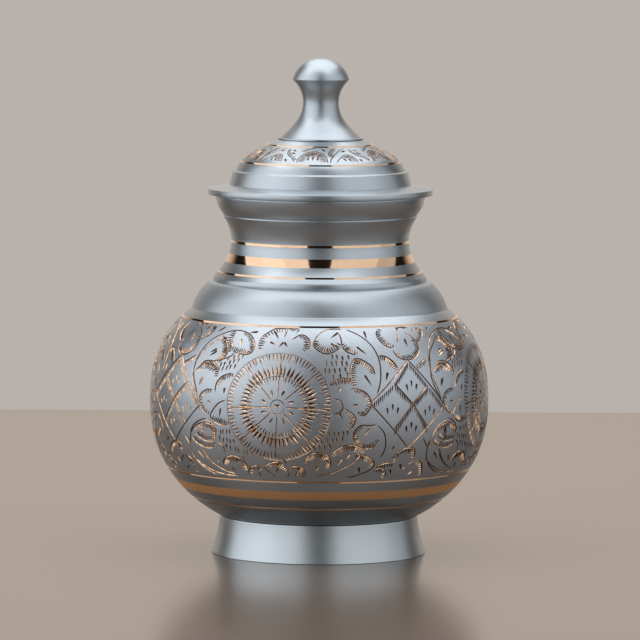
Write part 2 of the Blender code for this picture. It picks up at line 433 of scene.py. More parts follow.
class TurnedCurve:
    """A climbing profile, read by the distance along it."""

    def __init__(self, points: list[Point], zero_height: float) -> None:
        """Measure the profile.

        Args:
            points: Close points, as (r, z), from the lowest.
            zero_height: The height where the distance is 0.
        """
        self.radii = np.array([p[0] for p in points])
        self.heights = np.array([p[1] for p in points])
        steps = np.hypot(np.diff(self.radii), np.diff(self.heights))
        climb = np.concatenate([[0.0], np.cumsum(steps)])
        self.rises = climb - np.interp(zero_height, self.heights, climb)

    def rise_at(self, height: float) -> float:
        """The distance along the profile at a height."""
        return float(np.interp(height, self.heights, self.rises))

    def radius(self, rise: Any) -> Any:
        """The radius at a distance along the profile."""
        return np.interp(rise, self.rises, self.radii)

    def height(self, rise: Any) -> Any:
        """The height at a distance along the profile."""
        return np.interp(rise, self.rises, self.heights)

    def facing(self, rise: np.ndarray) -> tuple[np.ndarray, np.ndarray]:
        """The outward direction.

        Args:
            rise: Distances along the profile.

        Returns:
            Its parts away from the axis and up.
        """
        near = 0.4 * MM
        out = self.height(rise + near) - self.height(rise - near)
        up = self.radius(rise - near) - self.radius(rise + near)
        length = np.hypot(out, up)
        return out / length, up / length

    def span(self, low: float, high: float) -> list[Point]:
        """The profile's points between two heights, with both ends.

        Args:
            low: The lower height.
            high: The upper height.

        Returns:
            The points.
        """
        ends = [(float(np.interp(z, self.heights, self.radii)), z) for z in (low, high)]
        inside = [
            (float(r), float(z))
            for r, z in zip(self.radii, self.heights)
            if low + 0.2 * MM < z < high - 0.2 * MM
        ]
        return [ends[0]] + inside[:: max(1, len(inside) // 24)] + [ends[1]]


# ---------------------------------------------------------------- graver cuts


@dataclass
class Cut:
    """One cut of the graver on the flat drawing.

    Attributes:
        path: Points in metres, round the piece and up its profile.
        widths: The cut's width at each point.
    """

    path: np.ndarray
    widths: np.ndarray

    def shifted(self, across: float) -> "Cut":
        """The same cut further round."""
        return Cut(self.path + np.array([across, 0.0]), self.widths)


@dataclass
class Drawing:
    """The engraver's drawing, on a turned curve that is unrolled flat.

    Angles are in degrees from the line that the drawing is laid out from, and rises in
    millimetres up the profile.
    """

    curve: TurnedCurve
    reference: float
    low: float
    high: float
    turn: float = 0.0
    line_width: float = 0.78 * MM
    tick_width: float = 0.92 * MM
    seed: int = 4
    cuts: list[Cut] = field(default_factory=list)

    def __post_init__(self) -> None:
        """Start the engraver's unevenness."""
        self.chance = random.Random(self.seed)

    def flat(self, point: Point) -> np.ndarray:
        """A drawing point on the flat sheet, in metres."""
        return np.array([math.radians(point[0] + self.turn) * self.reference, point[1] * MM])

    def stretch(self, rise: float) -> float:
        """How much narrower the real surface is than the flat sheet at this rise."""
        return float(self.curve.radius(rise)) / self.reference

    def shaky(self, amount: float) -> float:
        """A small error of the hand, in metres."""
        return self.chance.uniform(-amount, amount) * MM

    def add(self, path: np.ndarray, widths: np.ndarray) -> None:
        """Keep a cut, held inside the band, with its steep wall on the upper side, where it faces down and is
        painted shade.

        Args:
            path: Points on the flat sheet.
            widths: The width at each.
        """
        path = path.copy()
        margin = 0.7 * MM
        path[:, 1] = np.clip(path[:, 1], self.low + margin, self.high - margin)
        along = path[-1] - path[0]
        if along[0] < 0.35 * along[1]:
            path, widths = path[::-1], widths[::-1]
        self.cuts.append(Cut(path, widths))

    def smooth(self, points: list[Point], step: float = 1.8 * MM) -> np.ndarray:
        """A smooth curve through drawing points.

        Args:
            points: The points that it runs through.
            step: The distance between its own points.

        Returns:
            Points on the flat sheet.
        """
        knots = [self.flat(p) for p in points]
        if len(knots) == 2:
            middle = (knots[0] + knots[1]) / 2
            knots.insert(1, middle)
        knots = [2 * knots[0] - knots[1]] + knots + [2 * knots[-1] - knots[-2]]
        path = []
        for a, b, c, d in zip(knots, knots[1:], knots[2:], knots[3:]):
            count = max(1, round(float(np.linalg.norm(c - b)) / step))
            for i in range(count):
                t = i / count
                path.append(
                    0.5
                    * (
                        2 * b
                        + (c - a) * t
                        + (2 * a - 5 * b + 4 * c - d) * t**2
                        + (3 * b - a - 3 * c + d) * t**3
                    )
                )
        path.append(knots[-2])
        return np.array(path)

    def stroke(self, path: np.ndarray, width: float) -> None:
        """Cut a line of even width with pointed ends.

        Args:
            path: Points on the flat sheet.
            width: The line's width.
        """
        if len(path) < 3:
            path = np.array([path[0], (path[0] + path[-1]) / 2, path[-1]])
        widths = np.full(len(path), width)
        widths[0] = widths[-1] = 0
        self.add(path, widths)

    def line(
        self,
        points: list[Point],
        comb: tuple[float, float] | None = None,
        side: Side = Side.LEFT,
        reach: float = 4.0,
        gap: float = 1.4,
        width: float | None = None,
    ) -> None:
        """Cut a curved line, with a comb of short cuts along some of it.

        Args:
            points: The drawing points that it runs through.
            comb: The stretch that has a comb, counted in points from the first.
            side: The side that the comb stands on.
            reach: The comb's length in millimetres.
            gap: Its spacing in millimetres.
            width: The line's width, where it isn't the usual one.
        """
        path = self.smooth(points)
        self.stroke(path, width or self.line_width)
        if comb is None:
            return
        knots = np.array([self.flat(p) for p in points])
        places = [int(np.argmin(np.linalg.norm(path - k, axis=1))) for k in knots]
        low, high = (np.interp(c, range(len(points)), places) for c in comb)
        self.comb(path[int(round(low)) : int(round(high)) + 1], side, reach, gap)

    def comb(self, path: np.ndarray, side: Side, reach: float, gap: float) -> None:
        """Cut a comb of tapering ticks along a path.

        Args:
            path: Points on the flat sheet.
            side: The side that they stand on.
            reach: Their length in millimetres.
            gap: Their spacing in millimetres.
        """
        squeeze = self.stretch(float(path[:, 1].mean()))
        true = path * np.array([squeeze, 1.0])
        lengths = np.concatenate([[0.0], np.cumsum(np.linalg.norm(np.diff(true, axis=0), axis=1))])
        count = max(2, int(lengths[-1] / (gap * MM)))
        for i in range(count + 1):
            along = lengths[-1] * i / count
            here = np.array([np.interp(along, lengths, true[:, k]) for k in (0, 1)])
            ahead = np.array([np.interp(along + MM, lengths, true[:, k]) for k in (0, 1)])
            behind = np.array([np.interp(along - MM, lengths, true[:, k]) for k in (0, 1)])
            way = (ahead - behind) / max(float(np.linalg.norm(ahead - behind)), 1e-9)
            inward = np.array([-way[1], way[0]]) * side.value
            fade = 0.78 + 0.22 * math.sin(math.pi * i / count)
            length = 1.18 * reach * fade * self.chance.uniform(0.85, 1.12) * MM
            tip = here + inward * length + way * self.shaky(0.35)
            root = here + inward * 0.3 * MM
            self.tick_between(root, tip, squeeze)

    def tick_between(
        self, start: np.ndarray, end: np.ndarray, squeeze: float, width: float | None = None
    ) -> None:
        """Cut one tick, thick near its start and running out to a point.

        Args:
            start: Its thick end, in true metres.
            end: Its thin end, in true metres.
            squeeze: What turns flat distances round the piece into true ones.
            width: Its greatest width, where it isn't the usual one.
        """
        width = (width or self.tick_width) * self.chance.uniform(0.86, 1.1)
        path = np.array([start + (end - start) * share for share in (0, 0.14, 0.55, 1)])
        path[:, 0] /= squeeze
        self.add(path, np.array([0.0, width, width * 0.78, 0.0]))

    def tick(self, start: Point, end: Point, width: float = 1.4) -> None:
        """Cut one loose tick between two drawing points.

        Args:
            start: Its thick end.
            end: Its thin end.
            width: Its width in millimetres.
        """
        squeeze = self.stretch(start[1] * MM)
        ends = [self.flat(p) * np.array([squeeze, 1.0]) for p in (start, end)]
        self.tick_between(ends[0], ends[1], squeeze, width * MM)

    def ticks(self, *pairs: tuple[Point, Point]) -> None:
        """Cut several loose ticks."""
        for start, end in pairs:
            self.tick(start, end)

    def round_point(self, middle: Point, radius: float, turn: float) -> Point:
        """A drawing point at a true distance from another.

        Args:
            middle: The centre, as (degrees, millimetres).
            radius: The distance in millimetres.
            turn: The direction in radians, from the right.

        Returns:
            The point, as (degrees, millimetres).
        """
        rise = middle[1] + radius * math.sin(turn)
        around = radius * math.cos(turn) * MM / float(self.curve.radius(rise * MM))
        return middle[0] + math.degrees(around), rise

    def ring(self, middle: Point, radius: float, width: float) -> None:
        """Cut a circle.

        Args:
            middle: Its centre.
            radius: Its radius in millimetres.
            width: The line's width in millimetres.
        """
        count = max(12, int(radius * 1.6))
        points = [
            self.round_point(middle, radius, math.tau * i / count) for i in range(count + 1)
        ]
        self.stroke(np.array([self.flat(p) for p in points]), width * MM)

    def sunburst(
        self, middle: Point, inner: float, outer: float, count: int, width: float = 1.1
    ) -> None:
        """Cut a ring of ticks, thick at the inner radius. Swap the radii for ticks that point inwards.

        Args:
            middle: The centre.
            inner: The radius in millimetres where they start.
            outer: The radius where they run out.
            count: How many there are.
            width: Their width in millimetres.
        """
        for i in range(count):
            turn = math.tau * (i + self.chance.uniform(-0.12, 0.12)) / count
            reach = outer + self.chance.uniform(-0.09, 0.09) * (outer - inner) * 2
            lean = self.chance.uniform(-0.02, 0.02)
            self.tick(
                self.round_point(middle, inner, turn),
                self.round_point(middle, reach, turn + lean),
                width,
            )


class GraverBand:
    """A band of a turned surface with cuts pressed into it."""

    slope = 0.68
    lean = -0.1
    cell = 3.0 * MM

    def __init__(self, curve: TurnedCurve, reference: float, low: float, high: float) -> None:
        """Set out the band.

        Args:
            curve: The turned profile.
            reference: The radius that the flat sheet is unrolled at.
            low: The lowest rise.
            high: The highest rise.
        """
        self.curve = curve
        self.reference = reference
        self.low = low
        self.high = high
        self.cuts: list[Cut] = []

    @property
    def half(self) -> float:
        """Half the length of the unrolled sheet."""
        return math.pi * self.reference

    def take(self, drawing: Drawing, repeats: int) -> None:
        """Repeat a drawing round the band, and again past the seam where it crosses it.

        Args:
            drawing: The drawing of one panel.
            repeats: How many panels there are.
        """
        whole = 2 * self.half
        for panel in range(repeats):
            for cut in drawing.cuts:
                moved = cut.shifted(whole * panel / repeats)
                middle = float(moved.path[:, 0].mean())
                moved = moved.shifted(-whole * round(middle / whole))
                self.cuts.append(moved)
                if moved.path[:, 0].max() > self.half - 2 * MM:
                    self.cuts.append(moved.shifted(-whole))
                if moved.path[:, 0].min() < -self.half + 2 * MM:
                    self.cuts.append(moved.shifted(whole))

    def depth_at(
        self, points: np.ndarray, margin: float = 0.0
    ) -> tuple[np.ndarray, np.ndarray]:
        """How deep the cuts are at points of the flat sheet. Each has a wide wall and a steep one.

        Args:
            points: Points on the sheet.
            margin: How much wider each cut is taken.

        Returns:
            The depths, and whether each point is on a steep wall.
        """
        order = np.argsort(points[:, 0], kind="stable")
        across = points[order, 0]
        depth = np.zeros(len(points))
        steep = np.zeros(len(points), bool)
        for cut in self.cuts:
            reach = cut.widths.max() + margin
            first = np.searchsorted(across, cut.path[:, 0].min() - reach)
            last = np.searchsorted(across, cut.path[:, 0].max() + reach)
            near = order[first:last]
            rises = points[near, 1]
            near = near[
                (rises > cut.path[:, 1].min() - reach) & (rises < cut.path[:, 1].max() + reach)
            ]
            if not len(near):
                continue
            squeeze = np.array([float(self.curve.radius(cut.path[:, 1].mean())) / self.reference, 1])
            here = points[near] * squeeze
            path = cut.path * squeeze
            start, way = path[:-1], np.diff(path, axis=0)
            long = np.maximum((way**2).sum(axis=1), 1e-18)
            away = here[:, None] - start[None]
            share = np.clip((away * way[None]).sum(axis=2) / long, 0, 1)
            left = np.sign(way[None, :, 0] * away[..., 1] - way[None, :, 1] * away[..., 0])
            gap = np.linalg.norm(away - share[..., None] * way[None], axis=2) * left
            half = (cut.widths[:-1] * (1 - share) + cut.widths[1:] * share) / 2 + margin
            walls = (half + gap) / (1 + self.lean), (half - gap) / (1 - self.lean)
            down = self.slope * np.minimum(*walls)
            best = down.argmax(axis=1)
            rows = np.arange(len(near))
            deeper = down[rows, best] > depth[near]
            depth[near[deeper]] = down[rows, best][deeper]
            steep[near[deeper]] = (walls[1] < walls[0])[rows, best][deeper]
        return depth, steep

    def outlines(self) -> tuple[list[Point], list[tuple[int, int]]]:
        """The cuts' edges and floors, as points and lines for the flat mesh.

        Returns:
            The points, and the pairs of them that lines join.
        """
        points: list[Point] = []
        lines: list[tuple[int, int]] = []
        for cut in self.cuts:
            squeeze = float(self.curve.radius(cut.path[:, 1].mean())) / self.reference
            true = cut.path * np.array([squeeze, 1.0])
            way = np.gradient(true, axis=0)
            way /= np.maximum(np.linalg.norm(way, axis=1, keepdims=True), 1e-12)
            side = np.stack([-way[:, 1], way[:, 0]], axis=1) * cut.widths[:, None] / 2
            last = len(true) - 1
            rows = []
            for share in (1, self.lean, -1):
                row = []
                for i, place in enumerate(true + side * share):
                    if i in (0, last) and rows:
                        row.append(rows[0][i])
                        continue
                    row.append(len(points))
                    points.append((place[0] / squeeze, place[1]))
                rows.append(row)
            for row in rows:
                lines.extend(zip(row, row[1:]))
        return points, lines

    def frame_lines(
        self, columns: int, points: list[Point], lines: list[tuple[int, int]]
    ) -> None:
        """Add the band's border and seam, with points where the turned rows next to it have theirs.

        Args:
            columns: Faces round the turned rows.
            points: The points so far.
            lines: The lines so far.
        """
        rows = max(2, round((self.high - self.low) / self.cell))
        around = [-self.half + 2 * self.half * i / columns for i in range(columns + 1)]
        up = [self.low + (self.high - self.low) * i / rows for i in range(1, rows)]
        loop = [(x, self.low) for x in around] + [(self.half, y) for y in up]
        loop += [(x, self.high) for x in around[::-1]] + [(-self.half, y) for y in up[::-1]]
        first = len(points)
        points.extend(loop)
        lines.extend((first + i, first + (i + 1) % len(loop)) for i in range(len(loop)))

    def flat_mesh(self, columns: int) -> tuple[np.ndarray, np.ndarray]:
        """Mesh the flat sheet round the cuts.

        Args:
            columns: Faces round the turned rows next to the band.

        Returns:
            The points, and the triangles.
        """
        points, lines = self.outlines()
        self.frame_lines(columns, points, lines)
        rows = round((self.high - self.low) / self.cell)
        steps = round(2 * self.half / self.cell)
        grid = np.array(
            [
                (
                    -self.half + 2 * self.half * (i + 0.5 * (j % 2)) / steps,
                    self.low + (self.high - self.low) * j / rows,
                )
                for j in range(1, rows)
                for i in range(1, steps)
            ]
        )
        grid = grid[self.depth_at(grid, 0.7 * MM)[0] <= 0]
        points += [tuple(p) for p in grid.tolist()]
        scaled = [Vector((x / MM, y / MM)) for x, y in points]
        found = delaunay_2d_cdt(scaled, lines, [], 0, 1e-5)
        flat = np.array([tuple(v) for v in found[0]]) * MM
        faces = np.array(found[2])
        middle = flat[faces].mean(axis=1)
        keep = (abs(middle[:, 0]) < self.half) & (middle[:, 1] > self.low) & (middle[:, 1] < self.high)
        return flat, faces[keep]

    def press(self, shell: bmesh.types.BMesh, columns: int) -> None:
        """Add the band to a shell, with its cuts pressed in.

        Args:
            shell: The piece's bmesh.
            columns: Faces round the turned rows next to the band.
        """
        flat, faces = self.flat_mesh(columns)
        depth, _ = self.depth_at(flat)
        middle_depth, steep = self.depth_at(flat[faces].mean(axis=1))
        # One wall of each cut takes the near-black SHADE copper as painted shade; the other takes the bright
        # cut copper.
        slots = np.where(steep, Slot.SHADE.value, Slot.CUT.value)
        slots[middle_depth <= 0.02 * MM] = Slot.GROUND.value
        edge = (flat[:, 1] < self.low + 0.01 * MM) | (flat[:, 1] > self.high - 0.01 * MM)
        depth[edge] = 0
        out, up = self.curve.facing(flat[:, 1])
        radius = self.curve.radius(flat[:, 1]) - depth * out
        height = self.curve.height(flat[:, 1]) - depth * up
        around = flat[:, 0] / self.reference
        used = np.unique(faces)
        made = {
            int(i): shell.verts.new(
                (radius[i] * math.sin(around[i]), -radius[i] * math.cos(around[i]), height[i])
            )
            for i in used
        }
        for corners, slot in zip(faces.tolist(), slots.tolist()):
            if len(set(corners)) < 3:
                continue
            face = shell.faces.new([made[c] for c in corners])
            face.material_index = slot


# ---------------------------------------------------------------- turned pieces


@dataclass
class Turning:
    """A piece turned about the upright axis."""

    name: str
    columns: int
    shell: bmesh.types.BMesh = field(default_factory=bmesh.new)

    def spin(self, profile: list[Point]) -> None:
        """Spin a profile into the shell.

        Args:
            profile: Its points, as (r, z).
        """
        verts = [self.shell.verts.new((0, -r, z)) for r, z in profile]
        edges = [self.shell.edges.new(pair) for pair in zip(verts, verts[1:])]
        bmesh.ops.spin(
            self.shell,
            geom=verts + edges,
            axis=(0, 0, 1),
            cent=(0, 0, 0),
            angle=math.tau,
            steps=self.columns,
            use_merge=True,
        )

    def close(self) -> None:
        """Join the rows and turn the faces outwards."""
        bmesh.ops.remove_doubles(self.shell, verts=self.shell.verts[:], dist=0.008 * MM)
        bmesh.ops.recalc_face_normals(self.shell, faces=self.shell.faces[:])

    def round_edges(self, *edges: tuple[float, float, float]) -> None:
        """Round turned edges.

        Args:
            edges: Radius, height and width of each.
        """
        for radius, height, width in edges:
            near = [
                e
                for e in self.shell.edges
                if all(
                    abs(v.co.z - height) < 0.02 * MM
                    and abs(math.hypot(v.co.x, v.co.y) - radius) < 0.02 * MM
                    for v in e.verts
                )
            ]
            bmesh.ops.bevel(
                self.shell,
                geom=near,
                offset=width,
                offset_type="OFFSET",
                affect="EDGES",
                segments=3,
                profile=0.5,
                material=-1,
            )

    def paint(self, slot: Slot, inside: Callable[[float, float], bool]) -> None:
        """Give some faces another finish.

        Args:
            slot: The finish.
            inside: Says whether a face is meant, from its radius and height.
        """
        for face in self.shell.faces:
            if face.material_index in (*ENGRAVED_SLOTS, Slot.GROUND.value):
                continue
            middle = face.calc_center_median()
            if inside(math.hypot(middle.x, middle.y), middle.z):
                face.material_index = slot.value

    def finish(self, finishes: list[Any], curve: TurnedCurve | None = None) -> bpy.types.Object:
        """Make the object.

        Args:
            finishes: One for each slot in use.
            curve: The profile of the engraved band, where there is one.

        Returns:
            The object.
        """
        mesh = bpy.data.meshes.new(self.name)
        for face in self.shell.faces:
            face.smooth = face.material_index not in ENGRAVED_SLOTS
        for edge in self.shell.edges:
            kinds = {f.material_index in ENGRAVED_SLOTS for f in edge.link_faces}
            turned = len(edge.link_faces) == 2 and edge.calc_face_angle(0) > math.radians(28)
            edge.smooth = not (turned or len(kinds) == 2)
        self.shell.to_mesh(mesh)
        self.shell.free()
        for material in finishes:
            mesh.materials.append(material)
        if curve is not None:
            self.true_normals(mesh, curve)
        piece = bpy.data.objects.new(self.name, mesh)
        bpy.context.scene.collection.objects.link(piece)
        return piece

    @staticmethod
    def true_normals(mesh: bpy.types.Mesh, curve: TurnedCurve) -> None:
        """Shade the ground between the cuts as the turned surface that it is.

        Args:
            mesh: The piece's mesh.
            curve: The profile of its engraved band.
        """
        count = len(mesh.loops)
        places = np.empty(len(mesh.vertices) * 3, np.float32)
        mesh.vertices.foreach_get("co", places)
        places = places.reshape(-1, 3)
        corners = np.empty(count, np.int32)
        mesh.loops.foreach_get("vertex_index", corners)
        slots = np.empty(len(mesh.polygons), np.int32)
        mesh.polygons.foreach_get("material_index", slots)
        totals = np.empty(len(mesh.polygons), np.int32)
        mesh.polygons.foreach_get("loop_total", totals)
        ground = np.repeat(slots, totals) == Slot.GROUND.value
        place = places[corners]
        rise = np.interp(place[:, 2], curve.heights, curve.rises)
        out, up = curve.facing(rise)
        flat = np.maximum(np.hypot(place[:, 0], place[:, 1]), 1e-9)
        normals = np.stack([place[:, 0] / flat * out, place[:, 1] / flat * out, up], axis=1)
        normals[~ground] = 0
        mesh.normals_split_custom_set([tuple(n) for n in normals.tolist()])


@dataclass
class Vessel:
    """The hollow vessel: engraved belly, bulging shoulder, waisted neck and flared collar."""

    base_height: float = 21.5 * MM
    wall: float = 1.6 * MM
    belly_radius: float = 95 * MM
    belly_rise: float = 64.7 * MM
    lower_reach: float = 76.8 * MM
    lower_squareness: float = 2.19
    upper_reach: float = 69.6 * MM
    upper_squareness: float = 2.39
    ledge_rise: float = 51.7 * MM
    shoulder_height: float = 15 * MM
    shoulder_round: float = 28 * MM
    shoulder_flat: float = 2.2 * MM
    step_height: float = 1.9 * MM
    step_inset: float = 11.6 * MM
    neck_inset: float = 10.1 * MM
    neck_rise: float = 20.2 * MM
    neck_power: float = 1.93
    neck_sweep: float = 24.6 * MM
    lip_flare: float = 4.6 * MM
    lip_height: float = 0.7 * MM
    lip_setback: float = 0.4 * MM
    collar_height: float = 11 * MM
    collar_flare: float = 4.7 * MM
    collar_round: float = 18.1 * MM
    carving_height: float = 90.9 * MM
    columns: int = 192
    groove: float = 0.36 * MM
    low_line: Point = (31.7 * MM, 32.9 * MM)
    low_band: Point = (37.9 * MM, 42.9 * MM)
    lower_border: Point = (48.2 * MM, 49.5 * MM)
    upper_border: Point = (132.9 * MM, 133.9 * MM)
    neck_low_line: Point = (157.9 * MM, 158.9 * MM)
    neck_band: Point = (163.8 * MM, 168.5 * MM)
    neck_top_line: Point = (174.6 * MM, 176.0 * MM)

    def belly_at(self, height: float) -> float:
        """The belly's radius at a height above its widest line."""
        reach, power = (
            (self.lower_reach, self.lower_squareness)
            if height < 0
            else (self.upper_reach, self.upper_squareness)
        )
        share = min(abs(height) / reach, 1)
        return self.belly_radius * (1 - share**power) ** (1 / power)

    @property
    def widest(self) -> float:
        """The height of the widest line."""
        return self.base_height + self.belly_rise

    def belly(self) -> TurnedCurve:
        """The belly's curve, from its flat bottom to the ledge."""
        count = 466
        heights = [
            -self.belly_rise + (self.belly_rise + self.ledge_rise) * i / count
            for i in range(count + 1)
        ]
        points = [(self.belly_at(h), self.widest + h) for h in heights]
        return TurnedCurve(points, self.carving_height)

    def levels(self) -> dict[str, Point]:
        """The corners above the ledge, as (r, z)."""
        ledge = (self.belly_at(self.ledge_rise), self.widest + self.ledge_rise)
        step_foot = (ledge[0] - self.step_inset, ledge[1] + self.shoulder_height)
        step_top = (step_foot[0], step_foot[1] + self.step_height)
        shoulder_top = (step_foot[0] + self.shoulder_flat, step_foot[1] - 0.6 * MM)
        sweep, flare = self.neck_sweep, self.lip_flare
        waist = (step_top[0] - self.neck_inset, step_top[1] + self.neck_rise)
        lip = (waist[0] + flare, waist[1] + math.sqrt(sweep**2 - (sweep - flare) ** 2))
        collar_foot = (lip[0] - self.lip_setback, lip[1] + self.lip_height)
        rim = (collar_foot[0] + self.collar_flare, collar_foot[1] + self.collar_height)
        return {
            "ledge": ledge,
            "shoulder_top": shoulder_top,
            "step_foot": step_foot,
            "step_top": step_top,
            "waist": waist,
            "lip": lip,
            "collar_foot": collar_foot,
            "rim": rim,
        }

    def shoulder(self) -> list[Point]:
        """The shoulder above the ledge: its bulge, and the narrow flat at the step's foot."""
        at = self.levels()
        return arc(at["ledge"], at["shoulder_top"], self.shoulder_round) + [at["step_foot"]]

    def lower_neck(self, count: int = 16) -> list[Point]:
        """The flared foot of the neck, from the step up to the waist, in so many lengths."""
        low, waist = self.levels()["step_top"], self.levels()["waist"]
        shares = [1 - i / count for i in range(count + 1)]
        return [
            (waist[0] + self.neck_inset * s**self.neck_power, waist[1] - self.neck_rise * s)
            for s in shares
            if waist[1] - self.neck_rise * s >= low[1] - 0.01 * MM
        ]

    def grooved(self, points: list[Point], *lines: Point, upright: bool = False) -> list[Point]:
        """Press thin turned lines into a climbing profile.

        Args:
            points: The profile.
            lines: The lower and upper height of each line.
            upright: Whether a line is a small upright face and not a groove.

        Returns:
            The profile with its lines.
        """
        curve = TurnedCurve(points, points[0][1])
        pressed = [p for p in points if not any(a - 0.1 * MM < p[1] < b + 0.1 * MM for a, b in lines)]
        for low, high in lines:
            ends = [(float(np.interp(z, curve.heights, curve.radii)), z) for z in (low, high)]
            middle = (low + high) / 2
            deep = float(np.interp(middle, curve.heights, curve.radii))
            if upright:
                face = [(deep, low + 0.01 * MM), (deep, high - 0.01 * MM)]
            else:
                face = [(deep - self.groove, middle)]
            pressed += [ends[0], *face, ends[1]]
        return sorted(pressed, key=lambda p: p[1])

    def banded(self, points: list[Point], band: Point) -> list[Point]:
        """Put points on a climbing profile at a band's edges."""
        curve = TurnedCurve(points, points[0][1])
        kept = [p for p in points if min(abs(p[1] - z) for z in band) > 0.15 * MM]
        kept += [(float(np.interp(z, curve.heights, curve.radii)), z) for z in band]
        return sorted(kept, key=lambda p: p[1])

    def build(self) -> bpy.types.Object:
        """Turn the vessel, engrave it and dress it.

        Returns:
            The piece.
        """
        belly = self.belly()
        at = self.levels()
        turning = Turning("vessel_body", self.columns)
        low_end, high_start = self.lower_border[1], self.upper_border[0]
        below = belly.span(self.base_height, low_end)
        below = self.banded(self.grooved(below, self.low_line, self.lower_border), self.low_band)
        turning.spin([(0, self.base_height)] + below)
        above = belly.span(high_start, at["ledge"][1])
        above = self.grooved(above, self.upper_border, upright=True)
        neck = self.lower_neck(36) + arc(at["waist"], at["lip"], -self.neck_sweep)
        neck = self.grooved(neck, self.neck_low_line, self.neck_top_line, upright=True)
        neck = self.banded(neck, self.neck_band)
        collar = [at["collar_foot"]] + arc(at["collar_foot"], at["rim"], self.collar_round)
        outer = above + self.shoulder() + neck + collar
        turning.spin(outer + self.inside(belly, at))
        band = GraverBand(belly, self.belly_radius, belly.rise_at(low_end), belly.rise_at(high_start))
        drawing = Drawing(belly, self.belly_radius, band.low, band.high, turn=14.0)
        BellyPattern(drawing).draw()
        band.take(drawing, 4)
        band.press(turning.shell, self.columns)
        turning.close()
        turning.round_edges(
            (*at["ledge"], 0.3 * MM), (*at["step_top"], 1.1 * MM), (*at["rim"], 0.35 * MM)
        )
        self.dress(turning)
        finishes = (SATIN, COPPER_BAND, COPPER_CUT, ENGRAVED, BRASS_INSIDE, CUT_SHADE, COPPER_LOW)
        finishes += (SHOULDER_SATIN,)
        return turning.finish([f.make() for f in finishes], belly)

    def inside(self, belly: TurnedCurve, at: dict[str, Point]) -> list[Point]:
        """The inner wall, from the rim down to the middle of the floor.

        Args:
            belly: The belly's curve.
            at: The corners above it.

        Returns:
            The wall's points.
        """
        wall = belly.span(self.base_height, at["ledge"][1])[::2]
        wall += arc(at["ledge"], at["shoulder_top"], self.shoulder_round, math.radians(9))
        wall += self.lower_neck()[2::2]
        wall += arc(at["waist"], at["lip"], -self.neck_sweep, math.radians(9))
        wall += arc(at["lip"], at["rim"], self.collar_round, math.radians(9))
        inner = set_in(wall, self.wall)
        floor = self.base_height + self.wall
        inner[0] = (inner[0][0], floor)
        inner[-1] = (inner[-1][0], at["rim"][1])
        return inner[::-1] + [(0, floor)]

    def dress(self, turning: Turning) -> None:
        """Give the turned lines, bands and inner wall their finishes."""
        belly = self.belly()
        bands = (
            self.low_line,
            self.lower_border,
            self.upper_border,
            self.neck_low_line,
            self.neck_band,
            self.neck_top_line,
        )
        at = self.levels()
        outer = belly.span(self.base_height, at["ledge"][1])
        outer += self.shoulder() + self.lower_neck(36)
        outer += arc(at["waist"], at["lip"], -self.neck_sweep)
        outer += arc(at["collar_foot"], at["rim"], self.collar_round)
        radii, heights = zip(*sorted(outer, key=lambda p: p[1]))

        def wall_at(z: float) -> float:
            return float(np.interp(z, heights, radii))

        turning.paint(
            Slot.INSIDE, lambda r, z: z > self.base_height + 0.5 * MM and r < wall_at(z) - 1.1 * MM
        )
        turning.paint(
            Slot.BAND, lambda r, z: r > wall_at(z) - MM and any(a < z < b for a, b in bands)
        )
        low, high = self.low_band
        turning.paint(Slot.LOW_BAND, lambda r, z: r > wall_at(z) - MM and low < z < high)
        foot, top = at["ledge"][1], at["step_foot"][1]
        turning.paint(Slot.SHOULDER, lambda r, z: r > wall_at(z) - MM and foot < z < top)


